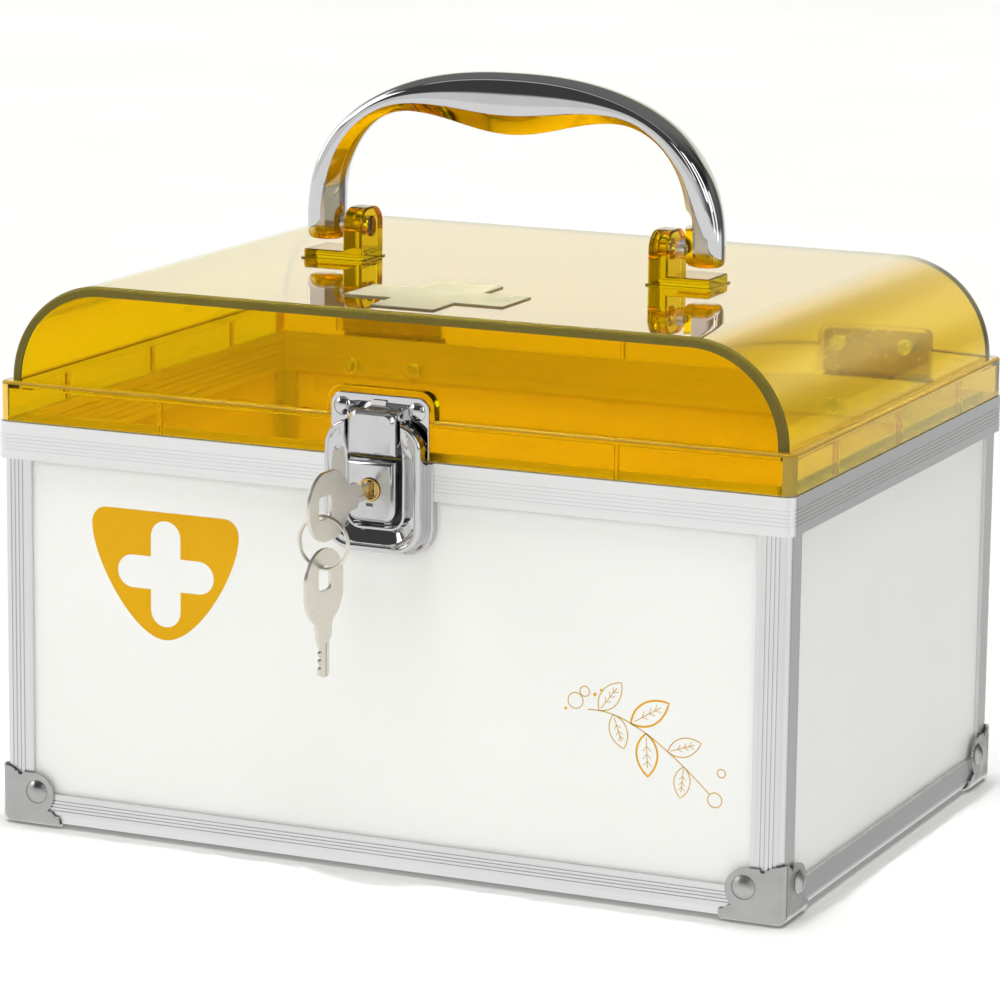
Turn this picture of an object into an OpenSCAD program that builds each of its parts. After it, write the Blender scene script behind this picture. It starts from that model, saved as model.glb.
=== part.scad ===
// First aid box: white panels in an aluminium frame, clear arched lid,
// bow handle, and a key latch. Millimetres, +Z up.
// Origin: centre of the footprint, on the surface the box stands on.
// X runs along the front, -Y is the front, +Y the hinge side.

/* [Box] */
// Outer width over the corner posts
box_w = 270; // [250:5:320]
// Outer depth over the corner posts
box_d = 195; // [170:5:240]
// Height from the ground to the top of the rim
body_h = 133; // [120:1:170]
// Thickness of the white panels
panel_t = 3; // [2.4:0.1:3.4]
// Width of each corner post on the front and back
post_w = 10.4; // [10:0.2:12]

/* [Rim and rails] */
// Height of the rim that the lid rests on
rim_h = 12; // [11:0.5:16]
// How far the rim stands out from the posts
rim_out = 1.4; // [1.2:0.1:1.8]
// Height of the bottom rails
rail_h = 10.4; // [10.4:0.2:13]
// Depth of the fine decorative grooves
groove_d = 0.35; // [0.2:0.05:0.45]

/* [Lid] */
// Height of the upright skirt around the lid
skirt_h = 13; // [11:0.5:16]
// Radius of the arch on both sides of the lid
arch_r = 32.3; // [26:0.1:38]
// Wall thickness of the lid
lid_t = 2.5; // [2:0.1:3]

/* [Handle] */
// Overall width of the handle
handle_w = 147.5; // [140:0.5:160]
// Height of the handle's top above the lid
handle_rise = 64.5; // [56:0.5:76]
// Depth of the handle's section
handle_d = 14.6; // [12:0.2:14.8]
// Height of the handle's pivot above the lid
pivot_rise = 11; // [11:0.1:13]

/* [Latch] */
// Width of the latch frame
latch_w = 33; // [32:0.5:36]
// Width of the hasp and the slide
hasp_w = 16.2; // [14:0.1:16.4]
// Travel of the latch slide
slide_travel = 1.8; // [1:0.1:1.8]
// Angle at which the key stands in its keyway
key_angle = 5; // [0:1:10]

/* [Hinges] */
// Distance of each hinge from the middle
hinge_x = 90; // [70:1:95]
// Width of each hinge leaf
hinge_w = 38; // [34:1:40]

/* [Hidden] */
$fn = 64;

g = 0.05;                        // gap between parts that slide together
hw = box_w / 2;
hd = box_d / 2;
cap_t = 0.8;                     // sheet of the corner caps
rail_out = 0.4;                  // rails stand this far out from the posts
skin = 1.2;                      // outer wall of the extrusions
lip = 1.0;                       // inner lip of the extrusions
slot = panel_t + 2 * g;
core = skin + slot + lip;        // side of the hollow core of a post
rail_z1 = cap_t + rail_h;
rim_z0 = body_h - rim_h;
rim_in = core + 1.2 + g;         // depth of the rim's inner wall, from the post face
rib_z = body_h - 5;              // underside of the ribs inside the rim
web_z = body_h - 1.5;            // underside of the rim's top web
tongue_h = 2;                    // low tongue inside the lid's skirt

lid_z0 = body_h + g;
skirt_out = 0.9;                 // skirt stands this far out from the posts
ledge_z = lid_z0 + skirt_h;
top_z = ledge_z + arch_r;        // flat top of the lid
arch_w = hw - 2.2;               // half width at the foot of the arch
arch_d = hd - 2.5;               // half depth of the arch

axis_y = hd + rim_out + 2.5;     // rear hinge axis
axis_z = lid_z0;
leaf_t = 0.9;
knuckle_r = 2.4;
pin_r = 1.1;

pivot_z = top_z + pivot_rise;
bow_z = top_z + handle_rise;
leg_in = handle_w / 2 - 12.4;
up_out = 57.7;                    // outer face of a bracket's upright
up_in = 50.9;

base_y = -(hd + rim_out);        // plane the latch base is fixed to
strike_y = -(hd + skirt_out);    // plane the strike plate is fixed to
front_y = base_y - 7.1;          // front of the slide
latch_z = body_h - 28.3;         // bottom of the latch frame
slide_z0 = body_h - 18.8;
slide_z1 = body_h + 0.2;
key_z = body_h - 8.6;            // centre of the key cylinder
hasp_z0 = body_h + 2;
hasp_z1 = body_h + 15.9;
hasp_axis_y = base_y - 3;
hasp_axis_z = body_h + 14.3;
rivet_z = body_h + 15.5;         // strike rivets
cyl_y = front_y - 0.6;           // face of the key cylinder

alu = [0.82, 0.84, 0.85];
white = [0.95, 0.95, 0.93];
steel = [0.66, 0.67, 0.68];
chrome = [0.85, 0.86, 0.88];
amber = [0.95, 0.68, 0.05];
brass = [0.85, 0.68, 0.32];
nickel = [0.80, 0.77, 0.69];

// ---------- 2D helpers ----------

// rectangle of half sizes a, b with round corners r
module rrect(a, b, r) {
  square([2 * a, 2 * (b - r)], center = true);
  square([2 * (a - r), 2 * b], center = true);
  for (x = [-1, 1], y = [-1, 1]) translate([x * (a - r), y * (b - r)]) circle(r);
}

// square from 0 to s whose outer corner at 0,0 is round
module corner_square(s, r) {
  intersection() {
    square(s);
    union() {
      translate([r, 0]) square(s);
      translate([0, r]) square(s);
      translate([r, r]) circle(r);
    }
  }
}

// plate standing on its lower edge, x from -a to a, z from z0 to z1, top corners round
module arch_plate(a, z0, z1, r) {
  translate([-a, z0]) square([2 * a, z1 - z0 - r]);
  translate([-(a - r), z0]) square([2 * (a - r), z1 - z0]);
  for (s = [-1, 1]) translate([s * (a - r), z1 - r]) circle(r);
}

// draws a 2D outline given in x, z as a plate from y0 to y1
module front_plate(y0, y1) {
  translate([0, y1, 0]) rotate([90, 0, 0]) linear_extrude(y1 - y0) children();
}

// draws a 2D outline given in y, z as a plate from x0 to x1
module side_plate(x0, x1) {
  translate([x0, 0, 0]) rotate([90, 0, 90]) linear_extrude(x1 - x0) children();
}

// rod along Y, X or Z
module rod_y(x, z, r, y0, y1) { translate([x, y1, z]) rotate([90, 0, 0]) cylinder(h = y1 - y0, r = r); }
module rod_x(y, z, r, x0, x1) { translate([x0, y, z]) rotate([0, 90, 0]) cylinder(h = x1 - x0, r = r); }

// dome head of radius r and height h, flat side at z = 0
module dome(r, h) {
  rr = (r * r + h * h) / (2 * h);
  rotate_extrude() intersection() {
    translate([0, h - rr]) circle(rr);
    square([r, h]);
  }
}

// ---------- panels ----------

panel_x = hw - core - g;         // half length of the front and back panels
panel_y = hd - core - g;         // half length of the side panels
panel_top = web_z - g;
floor_z = cap_t + 1.5 + g;       // underside of the bottom panel
wall_z = cap_t + 3.5 + g;        // lower edge of the upright panels

module rivet_holes() {
  for (x = [-1, 1], y = [-1, 1]) {
    rod_y(x * (hw - 12), 11.5, 1.6, y > 0 ? hd - 10 : -hd - 3, y > 0 ? hd + 3 : -hd + 10);
    rod_x(y * (hd - 12), 11.5, 1.6, x > 0 ? hw - 10 : -hw - 3, x > 0 ? hw + 3 : -hw + 10);
  }
}

module front_panel() {
  color(white) difference() {
    translate([-panel_x, -(hd - skin - g), wall_z]) cube([2 * panel_x, panel_t, panel_top - wall_z]);
    rivet_holes();
    for (s = [-1, 1]) rod_y(s * 12.7, body_h - 6.5, 1.6, -hd, -hd + 10);
  }
}

module back_panel() {
  color(white) difference() {
    translate([-panel_x, hd - skin - g - panel_t, wall_z]) cube([2 * panel_x, panel_t, panel_top - wall_z]);
    rivet_holes();
    for (s = [-1, 1], t = [-12, 12]) rod_y(s * hinge_x + t, body_h - 8.5, 1.6, hd - 10, hd);
  }
}

module side_panel() {
  difference() {
    translate([hw - skin - g - panel_t, -panel_y, wall_z]) cube([panel_t, 2 * panel_y, panel_top - wall_z]);
    rivet_holes();
  }
}
module left_panel() { color(white) mirror([1, 0, 0]) side_panel(); }
module right_panel() { color(white) side_panel(); }

module bottom_panel() {
  color(white) difference() {
    translate([-panel_x, -panel_y, floor_z]) cube([2 * panel_x, 2 * panel_y, panel_t]);
  }
}

// ---------- aluminium frame ----------

// section of a corner post; the outer corner is at 0,0
module post_section() {
  difference() {
    union() {
      corner_square(core, 3);
      translate([3, 0]) square([post_w - 3, skin]);
      translate([0, 3]) square([skin, post_w - 3]);
      translate([0, core - lip]) square([post_w, lip]);
      translate([core - lip, 0]) square([lip, post_w]);
    }
    translate([skin, skin]) square(slot);
    for (i = [0:3]) translate([2.8 + 1.4 * i, -1]) square([0.45, 1 + groove_d]);
  }
}

module post() {
  difference() {
    translate([-hw, -hd, rail_z1 + g]) linear_extrude(rib_z - rail_z1 - 2 * g) post_section();
    rivet_holes();
  }
}
module post_front_left() { color(alu) post(); }
module post_front_right() { color(alu) mirror([1, 0, 0]) post(); }
module post_back_left() { color(alu) mirror([0, 1, 0]) post(); }
module post_back_right() { color(alu) mirror([1, 0, 0]) mirror([0, 1, 0]) post(); }

// ring around the box between two offsets from the posts' faces (negative is inwards)
module ring(o_out, o_in, z0, z1, r) {
  translate([0, 0, z0]) linear_extrude(z1 - z0) difference() {
    rrect(hw + o_out, hd + o_out, r);
    if (r > 2.5) rrect(hw + o_in, hd + o_in, max(r - (o_out - o_in), 0.5));
    else square([2 * (hw + o_in), 2 * (hd + o_in)], center = true);
  }
}

module top_rim() {
  color(alu) difference() {
    union() {
      ring(rim_out, 2 * g, rim_z0, body_h - 0.01, 3.6);
      ring(rim_out - 0.5, -rim_in, web_z, body_h, 3.2);
      ring(2 * g, -(skin + g - g), rib_z, body_h - 0.5, 2.3);
      ring(-(core - lip + g), -rim_in, rib_z, body_h - 0.5, 1);
      ring(-(core + g), -rim_in, rim_z0, body_h + tongue_h, 1);
    }
    // fine grooves outside and inside
    for (i = [0:4]) {
      ring(rim_out + 1, rim_out - 0.4 * groove_d, rim_z0 + 3.1 + 1.2 * i, rim_z0 + 3.5 + 1.2 * i, 4.6);
      ring(-(rim_in - 0.3), -(rim_in + 1), rim_z0 + 2.5 + 2 * i, rim_z0 + 2.9 + 2 * i, 1);
    }
    // rivets of the hinges and the latch
    for (s = [-1, 1], t = [-12, 12]) rod_y(s * hinge_x + t, body_h - 8.5, 1.65, hd - 10, hd + 3);
    for (s = [-1, 1]) rod_y(s * 12.7, body_h - 6.5, 1.65, -hd - 3, -hd + 10);
  }
}

// section of a bottom rail in (outward distance from the post face, z)
module rail_section(grooves) {
  difference() {
    union() {
      translate([-(skin), cap_t + 3.5]) square([rail_out + skin, rail_h - 3.5]);
      translate([-11, cap_t]) square([11 + rail_out - 3.5, 1.5]);
      difference() {
        translate([rail_out - 3.5, cap_t + 3.5]) circle(3.5);
        translate([rail_out - 3.5, cap_t + 3.5]) circle(1.95);
        translate([rail_out - 7.5, cap_t - 1]) square([4, 9]);
        translate([rail_out - 7.5, cap_t + 3.5]) square([9, 5]);
      }
      translate([-core, cap_t]) square([lip, rail_h]);
    }
    if (grooves) for (i = [0:3]) translate([rail_out - groove_d, cap_t + 4.9 + 1.1 * i]) square([1, 0.4]);
  }
}

module rail_bounds() {
  translate([0, 0, -1]) linear_extrude(rail_z1 + 2) rrect(hw + rail_out, hd + rail_out, 3.5);
}

module rail_front() {
  color(alu) rail_along_x();
}
module rail_along_x() {
  difference() {
    intersection() {
      translate([-hw - 1, -hd, 0]) rotate([90, 0, 90]) linear_extrude(box_w + 2) mirror([1, 0]) rail_section(true);
      rail_bounds();
      translate([0, 0, -1]) linear_extrude(rail_z1 + 2)
        polygon([[-(hw + 2), -(hd + 2)], [hw + 2, -(hd + 2)], [hw - 20, -(hd - 20)], [-(hw - 20), -(hd - 20)]]);
    }
    rivet_holes();
  }
}
module rail_back() { color(alu) mirror([0, 1, 0]) rail_along_x(); }
module rail_along_y() {
  difference() {
    intersection() {
      translate([hw, hd + 1, 0]) rotate([90, 0, 0]) linear_extrude(box_d + 2) rail_section(false);
      rail_bounds();
      translate([0, 0, -1]) linear_extrude(rail_z1 + 2)
        polygon([[hw + 2 + g, -(hd + 2)], [hw + 2 + g, hd + 2], [hw - 20 + g, hd - 20], [hw - 20 + g, -(hd - 20)]]);
    }
    rivet_holes();
  }
}
module rail_right() { color(alu) rail_along_y(); }
module rail_left() { color(alu) mirror([1, 0, 0]) rail_along_y(); }

// ---------- corner caps ----------

// outline of one flap, corner at 0,0
module flap_2d() {
  difference() {
    union() {
      square([12.2, 17.7]);
      translate([12.2, 10.6]) circle(7.1);
      polygon([[0, 0], [6.8, 0], [6.8, 15.5], [4.6, 18.4], [2.4, 18.9], [0, 19.3]]);
      polygon([[0, 0], [0, 5.4], [18.4, 5.4], [20.8, 3.2], [21.3, 2.2], [21.3, 0]]);
    }
    translate([7.1, 17.6]) circle(1.0);
  }
}

// block whose three faces meet at 0,0,0 with round edges
module round_corner(s, r) {
  translate([r, r, 0]) cube([s - r, s - r, s]);
  translate([r, 0, r]) cube([s - r, s, s - r]);
  translate([0, r, r]) cube([s, s - r, s - r]);
  translate([r, r, r]) sphere(r);
  translate([r, r, r]) cylinder(h = s - r, r = r);
  translate([r, r, r]) rotate([-90, 0, 0]) cylinder(h = s - r, r = r);
  translate([r, r, r]) rotate([0, 90, 0]) cylinder(h = s - r, r = r);
}

module cap() {
  o = rail_out + cap_t;
  translate([-(hw + o), -(hd + o), 0]) difference() {
    intersection() {
      round_corner(24, 3);
      union() {
        translate([0, 4.3, 0]) rotate([90, 0, 0]) linear_extrude(4.3) intersection() { flap_2d(); square([4.6, 30]); }
        translate([0, cap_t, 0]) rotate([90, 0, 0]) linear_extrude(cap_t) flap_2d();
        mirror([1, -1, 0]) translate([0, cap_t, 0]) rotate([90, 0, 0]) linear_extrude(cap_t) flap_2d();
        linear_extrude(4) polygon([[0, 0], [21.3, 0], [20.5, 4], [4, 20.5], [0, 21.3]]);
      }
    }
    translate([cap_t, cap_t, cap_t]) round_corner(24, 2.2);
    translate([12 + o, -1, 11.5]) rotate([-90, 0, 0]) cylinder(h = 4, r = 1.6);
    translate([-1, 12 + o, 11.5]) rotate([0, 90, 0]) cylinder(h = 4, r = 1.6);
  }
}
module cap_front_left() { color(steel) cap(); }
module cap_front_right() { color(steel) mirror([1, 0, 0]) cap(); }
module cap_back_left() { color(steel) mirror([0, 1, 0]) cap(); }
module cap_back_right() { color(steel) mirror([1, 0, 0]) mirror([0, 1, 0]) cap(); }

// rivet along +Z: head above 0, shank of length l below, formed head under it
module rivet(r, h, shank, l, r2) {
  dome(r, h);
  translate([0, 0, -l - 1]) cylinder(h = l + 1, r = shank);
  translate([0, 0, -l - 1]) cylinder(h = 1, r = r2);
}

module cap_rivets() {
  l = rail_out + cap_t + core;
  color(steel) for (x = [-1, 1], y = [-1, 1]) {
    translate([x * (hw - 12), y * (hd + rail_out + cap_t), 11.5]) rotate([y > 0 ? -90 : 90, 0, 0]) rivet(3.6, 1.7, 1.55, l, 2.6);
    translate([x * (hw + rail_out + cap_t), y * (hd - 12), 11.5]) rotate([0, x > 0 ? 90 : -90, 0]) rivet(3.6, 1.7, 1.55, l, 2.6);
  }
}

// ---------- hinges ----------

module leaf_plate(z0, z1) {
  front_plate(hd + rim_out, hd + rim_out + leaf_t)
    translate([0, (z0 + z1) / 2]) rrect(hinge_w / 2, (z1 - z0) / 2, 2);
}

module body_leaf() {
  k = hinge_w / 3;
  difference() {
    union() {
      difference() {
        union() {
          leaf_plate(body_h - 14, body_h - 4);
          translate([-hinge_w / 2, hd + rim_out, body_h - 7]) cube([hinge_w, leaf_t, 7 + g]);
        }
        translate([-k / 2 - 0.3, hd, axis_z - knuckle_r - 0.4]) cube([k + 0.6, 10, 10]);
      }
      for (s = [-1, 1]) rod_x(axis_y, axis_z, knuckle_r, s > 0 ? k / 2 + 0.2 : -hinge_w / 2, s > 0 ? hinge_w / 2 : -k / 2 - 0.2);
    }
    rod_x(axis_y, axis_z, pin_r, -hinge_w, hinge_w);
    for (t = [-12, 12]) rod_y(t, body_h - 8.5, 1.65, hd, hd + 8);
  }
}

module lid_leaf() {
  k = hinge_w / 3;
  difference() {
    union() {
      difference() {
        union() {
          leaf_plate(axis_z + 5, axis_z + 18);
          translate([-hinge_w / 2, hd + rim_out, axis_z]) cube([hinge_w, leaf_t, 8]);
        }
        for (s = [-1, 1]) translate([s > 0 ? k / 2 : -hinge_w, hd, axis_z - 5]) cube([hinge_w - k / 2, 10, 5 + knuckle_r + 0.4]);
      }
      rod_x(axis_y, axis_z, knuckle_r, -k / 2, k / 2);
    }
    rod_x(axis_y, axis_z, pin_r + 0.06, -hinge_w, hinge_w);
    for (t = [-12, 12]) rod_y(t, axis_z + 13.5, 1.65, hd, hd + 8);
  }
}
module hinge_left_body_leaf() { color(steel) translate([-hinge_x, 0, 0]) body_leaf(); }
module hinge_right_body_leaf() { color(steel) translate([hinge_x, 0, 0]) body_leaf(); }
module hinge_left_lid_leaf() { color(steel) translate([-hinge_x, 0, 0]) lid_leaf(); }
module hinge_right_lid_leaf() { color(steel) translate([hinge_x, 0, 0]) lid_leaf(); }

module hinge_pin(x) { color(steel) rod_x(axis_y, axis_z, pin_r, x - hinge_w / 2 - 0.4, x + hinge_w / 2 + 0.4); }
module hinge_left_pin() { hinge_pin(-hinge_x); }
module hinge_right_pin() { hinge_pin(hinge_x); }

module hinge_body_rivets() {
  color(steel) for (s = [-1, 1], t = [-12, 12])
    translate([s * hinge_x + t, hd + rim_out + leaf_t, body_h - 8.5]) rotate([-90, 0, 0])
      rivet(2.7, 1.2, 1.6, rim_out + leaf_t + rim_in, 2.7);
}
module hinge_lid_rivets() {
  color(steel) for (s = [-1, 1], t = [-12, 12])
    translate([s * hinge_x + t, hd + rim_out + leaf_t, axis_z + 13.5]) rotate([-90, 0, 0])
      rivet(2.7, 1.2, 1.6, rim_out + leaf_t + 2.5 + lid_t, 2.7);
}

// ---------- latch on the body ----------

module latch_base() {
  color(chrome) difference() {
    union() {
      front_plate(base_y - 0.8, base_y)
        translate([0, (latch_z - 1.4 + body_h) / 2]) mirror([0, 1]) arch_plate(latch_w / 2 + 2, -(body_h - latch_z + 1.4) / 2, (body_h - latch_z + 1.4) / 2, 9);
      // turned back edge below the rim
      front_plate(base_y - 0.1, -(hd - skin)) difference() {
        mirror([0, 1]) arch_plate(latch_w / 2 + 2, -(rim_z0 - g), -(latch_z - 1.4), 9);
        mirror([0, 1]) arch_plate(latch_w / 2 + 1.2, -(rim_z0 + 5), -(latch_z - 0.6), 8.2);
      }
    }
    rod_y(0, key_z - 0.9, 7, base_y - 2, base_y + 1);
    for (s = [-1, 1]) rod_y(s * 12.7, body_h - 6.5, 1.65, base_y - 2, base_y + 2);
  }
}

module latch_rivets() {
  color(chrome) for (s = [-1, 1])
    translate([s * 12.7, base_y - 0.8, body_h - 6.5]) rotate([90, 0, 0]) rivet(2.6, 1.1, 1.6, rim_out + 0.8 + rim_in, 2.6);
}

channel = hasp_w / 2 + 1.05;     // half width of the channel in the frame

module frame_2d(o) {
  difference() {
    union() {
      zc = (latch_z + body_h + 12.5) / 2;
      translate([0, zc]) rrect(latch_w / 2 - o, (body_h + 12.5 - latch_z) / 2 - o, 8.5 - o);
    }
    mirror([0, 1]) arch_plate(channel + o, -(body_h + 30), -(slide_z0 - slide_travel - 0.3 - o), 4.2 + o);
  }
}

module latch_frame() {
  back = base_y - 0.85;
  color(chrome) difference() {
    front_plate(front_y + 1, back) frame_2d(0);
    front_plate(front_y + 1.9, back + 1) frame_2d(0.9);
    // arms stand clear of the strike plate
    translate([-latch_w, hasp_axis_y + 0.6, body_h - 0.5]) cube([2 * latch_w, 10, 40]);
  }
}

module latch_slide() {
  color(chrome) difference() {
    front_plate(front_y, base_y - 1.4)
      mirror([0, 1]) arch_plate(hasp_w / 2, -slide_z1, -slide_z0, 4);
    rod_y(0, key_z, 3.65, front_y - 1, base_y);
    translate([-1.2, front_y - 1, key_z - 5.3]) cube([2.4, 2.4, 1.1]);
    for (s = [-1, 1]) translate([s * 5.2, base_y - 4.6, slide_z0 - 1]) cylinder(h = 8, r = 1.5);
  }
}

// one small compression spring along Z
module coil(r, wire, pitch, turns) {
  for (i = [0:turns - 1]) translate([0, 0, wire + i * pitch]) rotate_extrude() translate([r, 0]) circle(wire, $fn = 16);
  difference() {
    cylinder(h = (turns - 1) * pitch + 2 * wire, r = r - 0.1);
    translate([0, 0, -1]) cylinder(h = turns * pitch + 4, r = r - 0.3);
  }
}
module latch_springs() {
  z0 = slide_z0 - slide_travel + 0.05;
  color(steel) for (s = [-1, 1]) translate([s * 5.2, base_y - 4.6, z0]) coil(1.15, 0.2, 1.14, 8);
}

module key_cylinder() {
  color(brass) difference() {
    union() {
      rod_y(0, key_z, 3.58, cyl_y + 0.5, base_y - 1.2);
      translate([0, cyl_y + 0.5, key_z]) rotate([90, 0, 0]) rotate_extrude() {
        square([3.1, 0.5]);
        intersection() { translate([3.08, 0]) circle(0.5); square([4, 0.5]); }
      }
    }
    translate([0, cyl_y, key_z]) rotate([0, 0, -key_angle]) translate([-0.75, -3, -2.85]) cube([1.5, 9.6, 5.7]);
  }
}

module lock_cam() {
  color(steel) front_plate(base_y - 1.15, base_y - 0.25) difference() {
    union() {
      translate([0, key_z]) circle(3.4);
      translate([-1.6, key_z]) square([3.2, 5]);
    }
    translate([-0.9, key_z - 0.9]) square(1.8);
  }
}

// ---------- strike and hasp on the lid ----------

module strike_plate() {
  color(chrome) difference() {
    union() {
      front_plate(strike_y - 0.8, strike_y) arch_plate(16.7, body_h + 0.6, body_h + 20, 4);
      front_plate(strike_y - 1.7, strike_y) intersection() {
        translate([0, body_h + 9]) circle(8.4);
        translate([-12, body_h + 0.6]) square([24, 20]);
      }
      // two ears that carry the hasp pin
      for (s = [-1, 1]) translate([s > 0 ? hasp_w / 2 + 0.1 : -hasp_w / 2 - 0.9, 0, 0]) {
        rod_x(hasp_axis_y, hasp_axis_z, 1.9, 0, 0.8);
        translate([0, hasp_axis_y, hasp_axis_z - 1.9]) cube([0.8, strike_y - hasp_axis_y - 0.1, 3.8]);
      }
    }
    rod_x(hasp_axis_y, hasp_axis_z, 0.8, -12, 12);
    // slot above the hasp
    translate([-2.4, strike_y - 3, body_h + 16.6]) cube([4.8, 4, 1.6]);
    for (s = [-1, 1]) rod_y(s * 12.7, rivet_z, 1.55, strike_y - 3, strike_y + 1);
  }
}

module strike_rivets() {
  color(chrome) for (s = [-1, 1]) translate([s * 12.7, strike_y - 0.8, rivet_z]) rotate([90, 0, 0])
    rivet(3, 1.5, 1.5, 0.8 + skirt_out + 2.5 + lid_t, 2.4);
}

module hasp() {
  color(chrome) difference() {
    union() {
      front_plate(front_y, front_y + 2.6) arch_plate(hasp_w / 2, hasp_z0, hasp_z1, 4);
      rod_x(hasp_axis_y, hasp_axis_z, 1.75, -hasp_w / 2, hasp_w / 2);
      translate([-hasp_w / 2, front_y + 2, hasp_axis_z - 1.75]) cube([hasp_w, hasp_axis_y - front_y - 2, 1.75]);
      // catch that drops behind the slide
      translate([-3.5, front_y + 2.5, hasp_z0]) cube([7, 1.6, 4]);
    }
    rod_x(hasp_axis_y, hasp_axis_z, 0.86, -12, 12);
    translate([-hasp_w, front_y - 1, hasp_z1]) cube([2 * hasp_w, 10, 10]);
  }
}

module hasp_pin() {
  color(steel) rod_x(hasp_axis_y, hasp_axis_z, 0.8, -hasp_w / 2 - 0.9, hasp_w / 2 + 0.9);
}

// ---------- lid ----------

// outline of the arch, inset by o
module arch_2d(o, z0) {
  a = arch_w - o;
  r = arch_r - o;
  translate([-a, z0]) square([2 * a, ledge_z - z0]);
  translate([-(arch_w - arch_r), z0]) square([2 * (arch_w - arch_r), top_z - o - z0]);
  for (s = [-1, 1]) intersection() {
    translate([s * (arch_w - arch_r), ledge_z]) circle(r, $fn = 128);
    translate([s > 0 ? arch_w - arch_r : -arch_w, ledge_z]) square([arch_r, arch_r]);
  }
}

module lid_shell() {
  color(amber, 0.75) difference() {
    union() {
      translate([0, 0, lid_z0]) linear_extrude(skirt_h) rrect(hw + skirt_out, hd + skirt_out, 3.5);
      front_plate(-arch_d, arch_d) arch_2d(0, ledge_z - 1);
      // pads behind the strike plate and the hinge leaves
      front_plate(strike_y, -arch_d + 1) arch_plate(18.4, ledge_z - 1, body_h + 21.8, 5);
      for (s = [-1, 1]) translate([s * hinge_x, 0, 0])
        front_plate(arch_d - 1, hd + rim_out) arch_plate(hinge_w / 2 + 1, axis_z + 3.2, axis_z + 19.5, 3);
    }
    difference() {
      union() {
        translate([0, 0, lid_z0 - 1]) linear_extrude(skirt_h - lid_t + 1)
          rrect(hw + skirt_out - lid_t, hd + skirt_out - lid_t, 1.2);
        front_plate(-(arch_d - lid_t), arch_d - lid_t) arch_2d(lid_t, ledge_z - lid_t - 1);
      }
      // short stiffening ribs inside the skirt
      for (x = [-78, 0, 78] * box_w / 270, s = [-1, 1])
        translate([x - 0.6, s > 0 ? hd - 3.2 : -hd, lid_z0 + 0.5]) cube([1.2, 3.2, skirt_h]);
      for (y = [-58, 0, 58] * box_d / 195, s = [-1, 1])
        translate([s > 0 ? hw - 3.2 : -hw, y - 0.6, lid_z0 + 0.5]) cube([3.2, 1.2, skirt_h]);
    }
    for (s = [-1, 1]) {
      rod_y(s * 12.7, rivet_z, 1.55, -hd - 4, -hd + 12);
      for (t = [-12, 12]) rod_y(s * hinge_x + t, axis_z + 13.5, 1.65, hd - 12, hd + 4);
    }
  }
}

module lid_cross_plate() {
  color([0.96, 0.86, 0.6]) translate([2, -62, top_z]) linear_extrude(0.6) {
    rrect(27.3, 10.8, 0.6);
    rrect(10.8, 26.2, 0.6);
  }
}

// ---------- handle ----------

module bracket() {
  // right-hand bracket: foot outwards, upright inwards
  difference() {
    union() {
      translate([up_in - 0.8, -9.3, top_z]) cube([22.8, 18.6, 0.5]);
      translate([up_in, -8.5, top_z]) cube([21.2, 17, 3.2]);
      side_plate(up_in, up_out) arch_plate(8.5, top_z, top_z + 17.4, 6);
    }
    rod_x(0, pivot_z, 1.98, up_in - 5, up_out + 5);
    rod_x(0, pivot_z, 3.5, up_in - 1, up_in + 2);
  }
}
module handle_bracket_right() { color(amber, 0.9) bracket(); }
module handle_bracket_left() { color(amber, 0.9) mirror([1, 0, 0]) bracket(); }

// outer curve of the bow at angle t, a superellipse over the pivots
function bow_out(t) = [
  handle_w / 2 * sign(cos(t)) * pow(abs(cos(t)), 0.85),
  pivot_z + (bow_z - pivot_z) * pow(abs(sin(t)), 0.85)
];
peak_x = leg_in * 0.592;
peak_z = bow_z - 14.4;
dip = 5.6;
// inner curve from the middle outwards: a wave, then a quarter ellipse
function bow_in(x) = x <= peak_x
  ? peak_z - dip * (1 + cos(180 * x / peak_x)) / 2
  : pivot_z + 10.7 + (peak_z - pivot_z - 10.7) * sqrt(max(0, 1 - pow((x - peak_x) / (leg_in - peak_x), 2)));

module bow_2d() {
  z0 = pivot_z - 5;
  inner = [for (i = [0:12]) let (x = peak_x * i / 12) [x, bow_in(x)]];
  bend = [for (i = [1:14]) let (x = peak_x + (leg_in - peak_x) * sin(90 * i / 14)) [x, bow_in(x)]];
  right = concat(inner, bend, [[leg_in, z0], [handle_w / 2, z0]]);
  arc = [for (i = [0:24]) bow_out(90 * i / 24)];
  half = concat(right, arc);
  polygon(half);
  mirror([1, 0]) polygon(half);
}

module handle_bow() {
  color(chrome) difference() {
    union() {
      intersection() {
        front_plate(-handle_d / 2, handle_d / 2) bow_2d();
        translate([-100, -50, pivot_z]) cube([200, 100, 100]);
      }
      intersection() {
        front_plate(-handle_d / 2, handle_d / 2) bow_2d();
        translate([-100, -50, pivot_z - 20]) cube([200, 100, 20.01]);
        rod_x(0, pivot_z, 7.45, -100, 100);
      }
    }
    for (s = [-1, 1]) rod_x(0, pivot_z, 1.9, s > 0 ? leg_in - 2 : -leg_in - 6, s > 0 ? leg_in + 6 : -leg_in + 2);
  }
}

module handle_pivot_screws() {
  color(steel) for (s = [0, 1]) mirror([s, 0, 0]) {
    difference() {
      rod_x(0, pivot_z, 3.2, up_in + 0.4, up_in + 1.9);
      translate([up_in, -2.2, pivot_z - 0.35]) cube([1, 4.4, 0.7]);
      translate([up_in, -0.35, pivot_z - 2.2]) cube([1, 0.7, 4.4]);
    }
    rod_x(0, pivot_z, 1.9, up_in + 1.5, leg_in + 5.5);
    rod_x(0, pivot_z, 3.1, up_out + 0.3, leg_in - g);
  }
}

// ---------- keys ----------

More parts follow.
